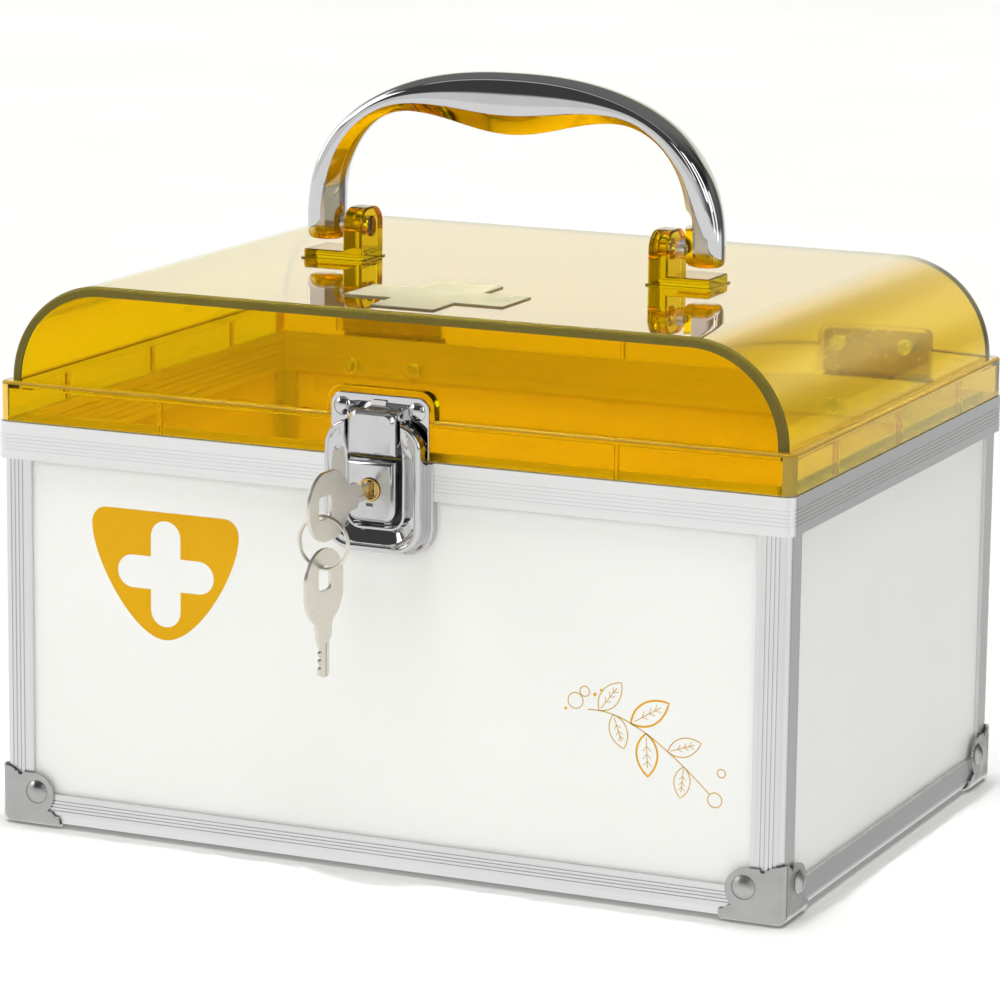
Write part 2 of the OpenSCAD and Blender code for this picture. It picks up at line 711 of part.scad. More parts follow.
// key in its own plane: s outwards from the lock face, t across; the blade points to -s
module key_2d() {
  difference() {
    union() {
      // oval bow
      translate([23.8, 0]) {
        circle(11);
        for (s = [-1, 1]) translate([s * 0.9, 0]) circle(11);
      }
      translate([8, -4.1]) square([8, 8.2]);
      translate([7, -3.1]) square([2, 6.2]);
      for (s = [-1, 1]) translate([8, s * 3.1]) circle(1);
      translate([-3.6, -2.65]) square([13, 5.3]);
      // the rounded tip
      translate([-3, 0]) circle(1.6);
    }
    translate([hole_s, 0]) rrect(3.7, 3.6, 1.6);
    translate([-0.6, 2.8]) circle(0.9);
    translate([1.9, 2.9]) circle(0.9);
    translate([4.4, 2.8]) circle(0.8);
  }
}
key_t = 1.2;
droop = 2;                           // the key hangs down a little in its keyway
key_dir = [-sin(key_angle) * cos(droop), -cos(key_angle) * cos(droop), -sin(droop)];
hole_s = 26.4;                       // centre of the hole in the bow
wire = 0.55;
ring_r = 8.15;                       // to the middle of the wire
ring_x = key_dir[0] * hole_s;
ring_y = cyl_y + key_dir[1] * hole_s;
ring_top = key_z + key_dir[2] * hole_s - 3.6 + wire + 0.3;   // middle of the wire in the first key
ring_low = ring_top - 2 * ring_r;       // middle of the wire in the spare key

module key_in_lock() {
  color(nickel) translate([0, cyl_y, key_z]) rotate([0, 0, -90 - key_angle]) rotate([0, droop, 0])
    translate([0, key_t / 2, 0]) rotate([90, 0, 0]) linear_extrude(key_t) key_2d();
}

module split_ring() {
  color(nickel) translate([ring_x, ring_y, ring_top - ring_r]) rotate([90, 0, 0]) rotate_extrude() {
    for (s = [-1, 1]) translate([ring_r, s * 0.5]) circle(wire);
  }
}

module spare_key() {
  // hangs with the blade down from the upper edge of its hole
  zc = ring_low + wire + 0.3 - 3.7;
  color(nickel) translate([ring_x, ring_y, zc]) rotate([0, 0, -key_angle]) rotate([90, 0, 90])
    translate([0, -hole_s, -key_t / 2]) linear_extrude(key_t) mirror([1, -1]) mirror([0, 1]) key_2d();
}

// ---------- assembly ----------

bottom_panel();
front_panel();
back_panel();
left_panel();
right_panel();
post_front_left();
post_front_right();
post_back_left();
post_back_right();
top_rim();
rail_front();
rail_back();
rail_left();
rail_right();
cap_front_left();
cap_front_right();
cap_back_left();
cap_back_right();
cap_rivets();
hinge_left_body_leaf();
hinge_right_body_leaf();
hinge_left_lid_leaf();
hinge_right_lid_leaf();
hinge_left_pin();
hinge_right_pin();
hinge_body_rivets();
hinge_lid_rivets();
latch_base();
latch_frame();
latch_rivets();
latch_slide();
latch_springs();
key_cylinder();
lock_cam();
strike_plate();
strike_rivets();
hasp();
hasp_pin();
lid_shell();
lid_cross_plate();
handle_bracket_left();
handle_bracket_right();
handle_bow();
handle_pivot_screws();
key_in_lock();
split_ring();
spare_key();
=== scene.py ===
import math

import bmesh
import bpy
from mathutils import Matrix, Vector
from mathutils.geometry import tessellate_polygon


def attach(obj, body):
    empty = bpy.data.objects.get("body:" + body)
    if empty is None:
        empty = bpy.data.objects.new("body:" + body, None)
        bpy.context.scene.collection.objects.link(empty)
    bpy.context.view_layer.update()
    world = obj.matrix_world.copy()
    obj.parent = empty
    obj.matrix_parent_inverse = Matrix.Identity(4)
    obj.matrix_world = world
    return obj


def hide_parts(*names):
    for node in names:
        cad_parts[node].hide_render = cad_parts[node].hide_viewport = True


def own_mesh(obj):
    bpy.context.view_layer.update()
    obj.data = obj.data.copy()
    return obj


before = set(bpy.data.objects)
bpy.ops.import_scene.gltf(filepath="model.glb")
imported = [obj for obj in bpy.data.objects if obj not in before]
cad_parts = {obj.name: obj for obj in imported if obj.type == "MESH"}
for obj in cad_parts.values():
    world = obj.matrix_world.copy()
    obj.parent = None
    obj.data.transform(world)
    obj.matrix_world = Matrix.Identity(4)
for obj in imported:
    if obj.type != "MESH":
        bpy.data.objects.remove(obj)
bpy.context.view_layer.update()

MM = 0.001
pi = math.pi

# ------------------------------------------------------------------ sizes, mm
HW, HD = 135.0, 97.5
BODY_H = 133.0
RIM_OUT, RAIL_OUT, CAP_T = 1.4, 0.4, 0.8
LID_Z0 = 133.05
LEDGE_Z = 146.05
ARCH_R, ARCH_W, ARCH_D, TOP_Z = 32.3, 132.8, 95.0, 178.35
LID_T = 2.5
PIVOT_Z = 189.35
BOW_Z = 242.85
BASE_Y, STRIKE_Y, FRONT_Y = -98.9, -98.4, -106.0
KEY_Z = 124.4
HASP_Y, HASP_Z = -101.9, 147.3
CYL_Y = -106.6
KEY_ANGLE, DROOP, HOLE_S = math.radians(5), math.radians(2), 26.4


# ------------------------------------------------------------------ materials
def new_mat(name):
    m = bpy.data.materials.new(name)
    m.use_nodes = True
    nt = m.node_tree
    b = nt.nodes["Principled BSDF"]
    return m, nt, b


def coords(nt, scale, loc=(0, 0, 0)):
    tc = nt.nodes.new("ShaderNodeTexCoord")
    mp = nt.nodes.new("ShaderNodeMapping")
    mp.inputs["Scale"].default_value = scale
    mp.inputs["Location"].default_value = loc
    nt.links.new(tc.outputs["Object"], mp.inputs["Vector"])
    return mp.outputs["Vector"]


def noise(nt, vec, scale, detail=4, rough=0.5, distortion=0.0):
    n = nt.nodes.new("ShaderNodeTexNoise")
    n.inputs["Scale"].default_value = scale
    n.inputs["Detail"].default_value = detail
    n.inputs["Roughness"].default_value = rough
    n.inputs["Distortion"].default_value = distortion
    nt.links.new(vec, n.inputs["Vector"])
    return n.outputs["Fac"]


def ramp(nt, fac, stops):
    r = nt.nodes.new("ShaderNodeValToRGB")
    cr = r.color_ramp
    while len(cr.elements) < len(stops):
        cr.elements.new(0.5)
    for e, (p, c) in zip(cr.elements, stops):
        e.position = p
        e.color = (*c, 1) if len(c) == 3 else c
    nt.links.new(fac, r.inputs["Fac"])
    return r.outputs["Color"]


def remap(nt, fac, a, b, lo=0.3, hi=0.7):
    r = nt.nodes.new("ShaderNodeMapRange")
    r.inputs["From Min"].default_value = lo
    r.inputs["From Max"].default_value = hi
    r.inputs["To Min"].default_value = a
    r.inputs["To Max"].default_value = b
    nt.links.new(fac, r.inputs["Value"])
    return r.outputs["Result"]


def add_bump(nt, b, height, strength, dist):
    n = nt.nodes.new("ShaderNodeBump")
    n.inputs["Strength"].default_value = strength
    n.inputs["Distance"].default_value = dist
    nt.links.new(height, n.inputs["Height"])
    nt.links.new(n.outputs["Normal"], b.inputs["Normal"])


def mat_panel(name, c1, c2, rough=0.33):
    m, nt, b = new_mat(name)
    v = coords(nt, (1, 1, 1))
    big = noise(nt, v, 9, 3)
    nt.links.new(ramp(nt, big, [(0.3, c1), (0.7, c2)]), b.inputs["Base Color"])
    fine = noise(nt, v, 900, 3, 0.55)
    nt.links.new(remap(nt, noise(nt, v, 60, 4), rough - 0.05, rough + 0.06), b.inputs["Roughness"])
    add_bump(nt, b, fine, 0.12, 0.0002)
    b.inputs["Specular IOR Level"].default_value = 0.5
    b.inputs["Coat Weight"].default_value = 0.15
    b.inputs["Coat Roughness"].default_value = 0.22
    return m


def mat_laminate_painted_inner_shade(name, axis, sign):
    """white laminate outside; the face that looks into the box gets a grained colour darker and more amber than the
    laminate, a painted shade and painted amber light for the light that comes in through the lid
    """
    m = mat_panel(name, (0.86, 0.86, 0.835), (0.90, 0.90, 0.875))
    nt = m.node_tree
    b = [n for n in nt.nodes if n.type == "BSDF_PRINCIPLED"][0]
    outside = b.inputs["Base Color"].links[0].from_socket
    grain = noise(nt, coords(nt, (8, 8, 260)), 1.0, 4, 0.6)
    inner_grain_and_painted_shade = ramp(nt, grain, [(0.3, (0.72, 0.605, 0.36)), (0.75, (0.78, 0.665, 0.41))])
    geo = nt.nodes.new("ShaderNodeNewGeometry")
    sep = nt.nodes.new("ShaderNodeSeparateXYZ")
    nt.links.new(geo.outputs["Normal"], sep.inputs[0])
    fac = remap(nt, sep.outputs[axis], 0.0, 1.0, 0.5 * sign, 0.6 * sign)
    mix = nt.nodes.new("ShaderNodeMix")
    mix.data_type = "RGBA"
    nt.links.new(fac, mix.inputs[0])
    nt.links.new(outside, mix.inputs[6])
    nt.links.new(inner_grain_and_painted_shade, mix.inputs[7])
    nt.links.new(mix.outputs[2], b.inputs["Base Color"])
    return m


def mat_drawn(name, base, dark, rough, scale, bump=0.18, metal=1.0, cloud=0.06, ends=1.0):
    """extruded or brushed metal; scale is stretched along the grain, ends darkens the colour of the faces that look
    outwards across X, a painted shade
    """
    m, nt, b = new_mat(name)
    v = coords(nt, scale)
    lines = noise(nt, v, 1.0, 5, 0.65)
    v2 = coords(nt, (1, 1, 1))
    clouds = noise(nt, v2, 35, 4, 0.6)
    mix = nt.nodes.new("ShaderNodeMath")
    mix.operation = "MULTIPLY_ADD"
    mix.inputs[1].default_value = 0.45
    nt.links.new(clouds, mix.inputs[0])
    nt.links.new(lines, mix.inputs[2])
    colour = ramp(nt, mix.outputs[0], [(0.45, dark), (0.95, base)])
    if ends < 1.0:
        geo = nt.nodes.new("ShaderNodeNewGeometry")
        sep = nt.nodes.new("ShaderNodeSeparateXYZ")
        nt.links.new(geo.outputs["Normal"], sep.inputs[0])
        # painted shade: only the faces that look outwards across X are darkened
        pos = nt.nodes.new("ShaderNodeSeparateXYZ")
        nt.links.new(geo.outputs["Position"], pos.inputs[0])
        way = nt.nodes.new("ShaderNodeMath")
        way.operation = "SIGN"
        nt.links.new(pos.outputs["X"], way.inputs[0])
        ab = nt.nodes.new("ShaderNodeMath")
        ab.operation = "MULTIPLY"
        nt.links.new(sep.outputs["X"], ab.inputs[0])
        nt.links.new(way.outputs[0], ab.inputs[1])
        shade = remap(nt, ab.outputs[0], 1.0, ends, 0.72, 0.97)
        mul = nt.nodes.new("ShaderNodeVectorMath")
        mul.operation = "SCALE"
        nt.links.new(colour, mul.inputs[0])
        nt.links.new(shade, mul.inputs["Scale"])
        colour = mul.outputs[0]
    nt.links.new(colour, b.inputs["Base Color"])
    nt.links.new(remap(nt, mix.outputs[0], rough - cloud, rough + cloud, 0.4, 1.0), b.inputs["Roughness"])
    b.inputs["Metallic"].default_value = metal
    add_bump(nt, b, lines, bump, 0.00012)
    return m


def mat_mirror(name, base, rough, waviness=0.03, fine=1500):
    m, nt, b = new_mat(name)
    v = coords(nt, (1, 1, 1))
    n1 = noise(nt, v, 110, 2, 0.4)
    n2 = noise(nt, v, fine, 2, 0.5)
    nt.links.new(ramp(nt, n1, [(0.25, tuple(x * 0.95 for x in base)), (0.75, base)]), b.inputs["Base Color"])
    nt.links.new(remap(nt, n2, rough * 0.6, rough * 1.7), b.inputs["Roughness"])
    b.inputs["Metallic"].default_value = 1.0
    add_bump(nt, b, n1, waviness, 0.0006)
    return m


def mat_amber(name, tint, absorb, density, rough=0.03, ior=1.5, bump=0.02, coat=1.0, curved=None):
    m, nt, b = new_mat(name)
    v = coords(nt, (1, 1, 1))
    deep = tuple(c * 0.96 for c in tint)
    colour = ramp(nt, noise(nt, v, 14, 3), [(0.35, deep), (0.65, tint)])
    if curved:
        # painted light: the faces turned across X get a paler colour, one below the ledge and another above it
        geo = nt.nodes.new("ShaderNodeNewGeometry")
        sep = nt.nodes.new("ShaderNodeSeparateXYZ")
        nt.links.new(geo.outputs["Normal"], sep.inputs[0])
        ab = nt.nodes.new("ShaderNodeMath")
        ab.operation = "ABSOLUTE"
        nt.links.new(sep.outputs["X"], ab.inputs[0])
        mix = nt.nodes.new("ShaderNodeMix")
        mix.data_type = "RGBA"
        nt.links.new(remap(nt, ab.outputs[0], 0.0, 1.0, 0.05, 0.5), mix.inputs[0])
        nt.links.new(colour, mix.inputs[6])
        zz = nt.nodes.new("ShaderNodeSeparateXYZ")
        nt.links.new(v, zz.inputs[0])
        low = nt.nodes.new("ShaderNodeMix")
        low.data_type = "RGBA"
        nt.links.new(remap(nt, zz.outputs["Z"], 0.0, 1.0, 0.1455, 0.147), low.inputs[0])
        low.inputs[6].default_value = (0.83, 0.71, 0.003, 1)
        low.inputs[7].default_value = (*curved, 1)
        nt.links.new(low.outputs[2], mix.inputs[7])
        colour = mix.outputs[2]
    nt.links.new(colour, b.inputs["Base Color"])
    b.inputs["Transmission Weight"].default_value = 1.0
    b.inputs["IOR"].default_value = ior
    b.inputs["Specular Tint"].default_value = (1.0, 0.68, 0.03, 1)
    lw = nt.nodes.new("ShaderNodeLayerWeight")
    lw.inputs["Blend"].default_value = 0.5
    nt.links.new(remap(nt, lw.outputs["Facing"], 0.0, coat, 0.66, 0.80), b.inputs["Coat Weight"])
    b.inputs["Coat IOR"].default_value = 1.65
    nt.links.new(remap(nt, noise(nt, v, 300, 4), rough * 0.5, rough * 1.6), b.inputs["Roughness"])
    add_bump(nt, b, noise(nt, v, 26, 2, 0.4), bump, 0.0008)
    va = nt.nodes.new("ShaderNodeVolumeAbsorption")
    va.inputs["Color"].default_value = (*absorb, 1)
    va.inputs["Density"].default_value = density
    out = [n for n in nt.nodes if n.type == "OUTPUT_MATERIAL"][0]
    nt.links.new(va.outputs["Volume"], out.inputs["Volume"])
    return m


def mat_ink(name, c1, c2, rough=0.3):
    m, nt, b = new_mat(name)
    v = coords(nt, (1, 1, 1))
    nt.links.new(ramp(nt, noise(nt, v, 45, 5, 0.6), [(0.3, c1), (0.7, c2)]), b.inputs["Base Color"])
    nt.links.new(remap(nt, noise(nt, v, 700, 3), rough - 0.05, rough + 0.08), b.inputs["Roughness"])
    add_bump(nt, b, noise(nt, v, 1400, 2), 0.08, 0.0001)
    b.inputs["Specular IOR Level"].default_value = 0.15
    return m


WHITE = mat_panel("white_laminate", (0.86, 0.86, 0.835), (0.90, 0.90, 0.875))
# ends paints shade on the outward faces across X of the aluminium parts
ALU_X = mat_drawn("aluminium_drawn_x", (0.80, 0.81, 0.81), (0.69, 0.70, 0.70), 0.36, (6, 900, 900), ends=0.75)
ALU_RIM = mat_drawn("aluminium_rim", (0.88, 0.885, 0.885), (0.78, 0.785, 0.785), 0.36, (6, 900, 900), ends=0.8)
ALU_Y = mat_drawn("aluminium_drawn_y", (0.80, 0.81, 0.81), (0.69, 0.70, 0.70), 0.36, (900, 6, 900), ends=0.72)
ALU_Z = mat_drawn("aluminium_drawn_z", (0.80, 0.81, 0.81), (0.69, 0.70, 0.70), 0.36, (900, 900, 6), ends=0.92)
NICKEL = mat_mirror("satin_nickel", (0.45, 0.45, 0.445), 0.22, 0.16, 160)
STEEL = mat_drawn("plated_steel", (0.74, 0.75, 0.77), (0.60, 0.61, 0.62), 0.24, (300, 60, 300), 0.12, metal=0.72)
CHROME = mat_mirror("chrome_plate", (0.62, 0.62, 0.63), 0.035)
SATIN = mat_mirror("satin_chrome", (0.61, 0.61, 0.62), 0.18, 0.005, 150)
# dark colour for the latch channel floor: painted shadow
CHANNEL_PAINTED_SHADOW = mat_drawn("channel_painted_shadow", (0.12, 0.12, 0.12), (0.06, 0.06, 0.06), 0.5, (200, 200, 200), 0.1, metal=0.4)
BRASS = mat_drawn("turned_brass", (0.90, 0.68, 0.30), (0.70, 0.48, 0.16), 0.22, (700, 50, 700), 0.2)
KEYMET = mat_drawn("key_nickel", (0.78, 0.745, 0.665), (0.70, 0.665, 0.59), 0.3, (90, 90, 40), 0.06)
# curved is the painted paler colour for the lid's faces turned across X
AMBER = mat_amber("amber_acrylic", (0.87, 0.60, 0.006), (0.82, 0.84, 0.2), 65.0, curved=(0.99, 0.86, 0.004))
AMBER2 = mat_amber("amber_bracket", (0.93, 0.63, 0.006), (0.80, 0.80, 0.2), 80.0, rough=0.02, coat=0.3)
FROST = mat_panel("frosted_cross", (0.165, 0.153, 0.098), (0.185, 0.172, 0.112), 0.5)
for n in FROST.node_tree.nodes:
    if n.type == "BSDF_PRINCIPLED":
        n.inputs["Coat Weight"].default_value = 0.0
        n.inputs["Specular IOR Level"].default_value = 0.3
# painted shade: opaque darker colours for the lid sheet's edge band, ledge rounding and foot
AMBER_EDGE_PAINTED_SHADE = mat_ink("amber_sheet_edge_painted_shade", (0.125, 0.098, 0.014), (0.15, 0.12, 0.022), 0.22)
AMBER_LIP_PAINTED_SHADE = mat_ink("amber_lip_painted_shade", (0.30, 0.175, 0.012), (0.34, 0.205, 0.02), 0.22)
# painted shade on the right corners and painted light on the left corners of the lid sheet
AMBER_CORNER_PAINTED_SHADE = mat_ink("amber_corner_painted_shade", (0.37, 0.25, 0.04), (0.42, 0.29, 0.055), 0.22)
AMBER_CORNER_PAINTED_LIGHT = mat_ink("amber_corner_painted_light", (0.84, 0.54, 0.12), (0.87, 0.58, 0.14), 0.22)
AMBER_FOOT_PAINTED_SHADE = mat_ink("amber_foot_painted_shade", (0.40, 0.36, 0.18), (0.45, 0.40, 0.22), 0.22)
RIVET = mat_mirror("rivet_nickel", (0.50, 0.50, 0.495), 0.34, 0.03, 160)
INK = mat_ink("amber_ink", (0.73, 0.375, 0.0), (0.77, 0.405, 0.002))
INK_LINE = mat_ink("amber_line_ink", (0.60, 0.36, 0.06), (0.70, 0.44, 0.08))


# ------------------------------------------------------------------ mesh tools
def V2(x, y):
    return Vector((x, y))


def place_front(u, v, w):
    """u = x, v = z, w = towards the front"""
    return Vector((u, -w, v)) * MM


def place_top(u, v, w):
    return Vector((u, v, w)) * MM


def place_side(u, v, w):
    """u = y, v = z, w = x"""
    return Vector((w, u, v)) * MM


def arc(cx, cy, r, a0, a1, n):
    return [V2(cx + r * math.cos(math.radians(a0 + (a1 - a0) * i / n)), cy + r * math.sin(math.radians(a0 + (a1 - a0) * i / n))) for i in range(n + 1)]


def clean(pts, eps=1e-4):
    out = []
    for p in pts:
        if not out or (p - out[-1]).length > eps:
            out.append(p)
    if (out[0] - out[-1]).length <= eps:
        out.pop()
    return out


def area(pts):
    return 0.5 * sum(pts[i - 1].x * pts[i].y - pts[i].x * pts[i - 1].y for i in range(len(pts)))


def ccw(pts):
    pts = clean(pts)
    return pts if area(pts) > 0 else pts[::-1]


def cw(pts):
    pts = clean(pts)
    return pts if area(pts) < 0 else pts[::-1]


def rrect(cx, cy, a, b, r, n=8):
    r = max(r, 0.01)
    return ccw(arc(cx + a - r, cy + b - r, r, 0, 90, n) + arc(cx - a + r, cy + b - r, r, 90, 180, n) + arc(cx - a + r, cy - b + r, r, 180, 270, n) + arc(cx + a - r, cy - b + r, r, 270, 360, n))


def circle(cx, cy, r, n=32):
    return clean(arc(cx, cy, r, 0, 360, n))


def offset(pts, d):
    n = len(pts)
    out = []
    for i in range(n):
        e1 = (pts[i] - pts[i - 1]).normalized()
        e2 = (pts[(i + 1) % n] - pts[i]).normalized()
        n1, n2 = V2(-e1.y, e1.x), V2(-e2.y, e2.x)
        m = n1 + n2
        m = m.normalized() if m.length > 1e-6 else n1
        out.append(pts[i] + m * (d / max(m.dot(n1), 0.4)))
    return out


def plate(bm, loops, w0, w1, rf=0.3, rb=0.0, seg=3, place=place_front):
    """a plate between w0 and w1; loops[0] is the outline, the others are holes; rf and rb round the front and back edges, a negative rf bevels"""
    loops = [ccw(loops[0])] + [cw(h) for h in loops[1:]]
    rfs = rf if isinstance(rf, (list, tuple)) else [rf] * len(loops)
    rbs = rb if isinstance(rb, (list, tuple)) else [rb] * len(loops)
    ends = [[], []]
    for pts, f, bk in zip(loops, rfs, rbs):
        prof = []
        if bk > 0:
            prof += [(bk * (1 - math.sin(pi / 2 * k / seg)), w0 + bk * (1 - math.cos(pi / 2 * k / seg))) for k in range(seg + 1)]
        else:
            prof.append((0, w0))
        if f < 0:
            c = -f
            prof += [(0, w1 - c), (0.04 * c, w1 - 0.86 * c), (0.86 * c, w1 - 0.04 * c), (c, w1)]
        elif f > 0:
            prof += [(f * (1 - math.cos(pi / 2 * k / seg)), w1 - f + f * math.sin(pi / 2 * k / seg)) for k in range(seg + 1)]
        else:
            prof.append((0, w1))
        rings = []
        for ins, w in prof:
            ring = offset(pts, ins) if ins > 1e-9 else pts
            rings.append(([bm.verts.new(place(p.x, p.y, w)) for p in ring], ring))
        n = len(pts)
        for (ra, _), (rb_, _) in zip(rings, rings[1:]):
            for i in range(n):
                j = (i + 1) % n
                bm.faces.new((ra[i], ra[j], rb_[j], rb_[i]))
        ends[0].append(rings[0])
        ends[1].append(rings[-1])
    for k, caps in enumerate(ends):
        if len(caps) == 1:
            vs = caps[0][0]
            bm.faces.new(vs if k else vs[::-1])
            continue
        flat = [v for vs, _ in caps for v in vs]
        tris = tessellate_polygon([[Vector((p.x, p.y, 0)) for p in ring] for _, ring in caps])
        for t in tris:
            tri = [flat[i] for i in t]
            try:
                bm.faces.new(tri if k else tri[::-1])
            except ValueError:
                pass


def lathe(bm, prof, place, n=40):
    """prof is (radius, height) from the axis outwards and back; place maps (x, y, h)"""
    rings = []
    for r, h in prof:
        if r < 1e-6:
            rings.append([bm.verts.new(place(0, 0, h))])
        else:
            rings.append([bm.verts.new(place(r * math.cos(2 * pi * i / n), r * math.sin(2 * pi * i / n), h)) for i in range(n)])
    for a, b in zip(rings, rings[1:]):
        for i in range(n):
            j = (i + 1) % n
            if len(a) == 1 and len(b) == 1:
                continue
            if len(a) == 1:
                bm.faces.new((a[0], b[j], b[i]))
            elif len(b) == 1:
                bm.faces.new((a[i], a[j], b[0]))
            else:
                bm.faces.new((a[i], a[j], b[j], b[i]))


def rod(bm, p0, p1, r, n=32, bev=0.0):
    """round rod between two points, with its end edges rounded"""
    p0, p1 = Vector(p0), Vector(p1)
    ax = (p1 - p0).normalized()
    u = ax.orthogonal().normalized()
    v = ax.cross(u)
    L = (p1 - p0).length
    prof = [(0, 0)]
    if bev > 0:
        prof += [(r - bev + bev * math.sin(pi / 2 * k / 3), bev - bev * math.cos(pi / 2 * k / 3)) for k in range(4)]
        prof += [(r - bev + bev * math.cos(pi / 2 * k / 3), L - bev + bev * math.sin(pi / 2 * k / 3)) for k in range(4)]
    else:
        prof += [(r, 0), (r, L)]
    prof.append((0, L))
    lathe(bm, prof, lambda x, y, h: (p0 + u * x + v * y + ax * h) * MM, n)


def boxy(bm, x0, x1, y0, y1, z0, z1, bev=0.15, seg=2):
    plate(bm, [[V2(x0, z0), V2(x1, z0), V2(x1, z1), V2(x0, z1)]], -y1, -y0, bev, bev, seg)


def to_object(name, bm):
    bmesh.ops.remove_doubles(bm, verts=bm.verts, dist=2e-7)
    bmesh.ops.recalc_face_normals(bm, faces=bm.faces)
    me = bpy.data.meshes.new(name)
    bm.to_mesh(me)
    bm.free()
    ob = bpy.data.objects.new(name, me)
    bpy.context.scene.collection.objects.link(ob)
    return ob


def boolean(ob, others, op):
    for o in others:
        md = ob.modifiers.new("b", "BOOLEAN")
        md.operation = op
        md.solver = "EXACT"
        md.object = o
    bpy.context.view_layer.update()
    dg = bpy.context.evaluated_depsgraph_get()
    me = bpy.data.meshes.new_from_object(ob.evaluated_get(dg))
    ob.modifiers.clear()
    old = ob.data
    ob.data = me
    bpy.data.meshes.remove(old)
    for o in others:
        bpy.data.objects.remove(o)
    bm = bmesh.new()
    bm.from_mesh(me)
    bmesh.ops.remove_doubles(bm, verts=bm.verts, dist=1e-6)
    bmesh.ops.dissolve_degenerate(bm, edges=bm.edges, dist=1e-6)
    bmesh.ops.recalc_face_normals(bm, faces=bm.faces)
    bm.to_mesh(me)
    bm.free()
    return ob


def dress(ob, mat, body, nodes=(), sharp=32, weighted=True):
    me = ob.data
    me.materials.clear()
    me.materials.append(mat)
    for p in me.polygons:
        p.use_smooth = True
    me.set_sharp_from_angle(angle=math.radians(sharp))
    if weighted:
        m = ob.modifiers.new("wn", "WEIGHTED_NORMAL")
        m.keep_sharp = True
        m.weight = 50
    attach(ob, body)
    if nodes:
        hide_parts(*nodes)
    return ob


def mirror_x(bm):
    bmesh.ops.scale(bm, vec=(-1, 1, 1), verts=bm.verts)
    bmesh.ops.reverse_faces(bm, faces=bm.faces)


# ------------------------------------------------------------------ lid shell
def arch_surface(bm, a, r, z_foot, z_arc, top, yh, rb, n_arc=40, n_rb=4, extra_foot=False, band=0.0):
    """upper surface of an arch of half width a and half depth yh, with rounded end edges.
    returns the loop of vertices around its foot, counter-clockwise from the front left"""
    cx = a - r
    prof = []
    if extra_foot:
        prof.append((V2(a, z_foot), V2(1, 0)))
    prof += [(V2(cx + r * math.cos(pi / 2 * i / n_arc), z_arc + r * math.sin(pi / 2 * i / n_arc)), V2(math.cos(pi / 2 * i / n_arc), math.sin(pi / 2 * i / n_arc))) for i in range(n_arc + 1)]
    n_flat = 12
    prof += [(V2(cx - 2 * cx * i / n_flat, top), V2(0, 1)) for i in range(1, n_flat)]
    prof += [(V2(-cx - r * math.sin(pi / 2 * i / n_arc), z_arc + r * math.cos(pi / 2 * i / n_arc)), V2(-math.sin(pi / 2 * i / n_arc), math.cos(pi / 2 * i / n_arc))) for i in range(n_arc + 1)]
    if extra_foot:
        prof.append((V2(-a, z_foot), V2(-1, 0)))
    st = [(-(yh - rb) - rb * math.cos(pi / 2 * k / n_rb), rb * (1 - math.sin(pi / 2 * k / n_rb))) for k in range(n_rb + 1)]
    mid = [(-(yh - rb) + 2 * (yh - rb) * k / 6, 0.0) for k in range(1, 6)]
    st = st + mid + [(-y, i) for y, i in st[::-1]]
    grid = []
    for y, ins in st:
        grid.append([bm.verts.new(Vector(((p - nn * ins).x, y, (p - nn * ins).y)) * MM) for p, nn in prof])
    for ra, rb_ in zip(grid, grid[1:]):
        for i in range(len(prof) - 1):
            bm.faces.new((ra[i], ra[i + 1], rb_[i + 1], rb_[i]))
    foot_f, foot_b = [], []
    if band:
        for row, y, flip in ((grid[0], -yh, False), (grid[-1], yh, True)):
            edge = [bm.verts.new(Vector(((q - nn * (rb + band)).x, y, (q - nn * (rb + band)).y)) * MM) for q, nn in prof]
            for i in range(len(prof) - 1):
                f = (edge[i], edge[i + 1], row[i + 1], row[i])
                bm.faces.new(f[::-1] if flip else f)
            bm.faces.new(edge[::-1] if flip else edge)
            if flip:
                foot_b = [edge[0], edge[-1]]
            else:
                foot_f = [edge[-1], edge[0]]
    else:
        bm.faces.new(grid[0])
        bm.faces.new(grid[-1][::-1])
    # foot loop: front left, along the front to the right, up the right side, back, down the left
    left = [g[-1] for g in grid]
    right = [g[0] for g in grid]
    return left[:1] + foot_f + right + foot_b + left[1:][::-1]


def loop_coords(vs):
    return [V2(v.co.x / MM, v.co.y / MM) for v in vs]


def ring_faces(bm, ra, rb_):
    n = len(ra)
    for i in range(n):
        j = (i + 1) % n
        bm.faces.new((ra[i], ra[j], rb_[j], rb_[i]))


def flat_ring(bm, outer, inner, flip=False):
    """fills the flat ring between two loops of vertices"""
    tris = tessellate_polygon([[Vector((v.co.x, v.co.y, 0)) * 1000 for v in outer], [Vector((v.co.x, v.co.y, 0)) * 1000 for v in inner]])
    flat = list(outer) + list(inner)
    for t in tris:
        try:
            bm.faces.new([flat[i] for i in t])
        except ValueError:
            pass


def skirt_inner():
    a, b = HW + 0.9 - LID_T, HD + 0.9 - LID_T
    t = 1.6
    pts = []

    def side(p0, p1, stops, inward):
        d = (p1 - p0).normalized()
        for s in stops:
            q = p0 + d * s
            pts.extend([q - d * 0.6, q - d * 0.6 + inward * t, q + d * 0.6 + inward * t, q + d * 0.6])

    r = 1.2
    pts += arc(-a + r, -b + r, r, 180, 270, 5)
    side(V2(-a, -b), V2(a, -b), [a - 78, a, a + 78], V2(0, 1))
    pts += arc(a - r, -b + r, r, 270, 360, 5)
    side(V2(a, -b), V2(a, b), [b - 58, b, b + 58], V2(-1, 0))
    pts += arc(a - r, b - r, r, 0, 90, 5)
    side(V2(a, b), V2(-a, b), [a - 78, a, a + 78], V2(0, -1))
    pts += arc(-a + r, b - r, r, 90, 180, 5)
    side(V2(-a, b), V2(-a, -b), [b - 58, b, b + 58], V2(1, 0))
    return clean(pts)


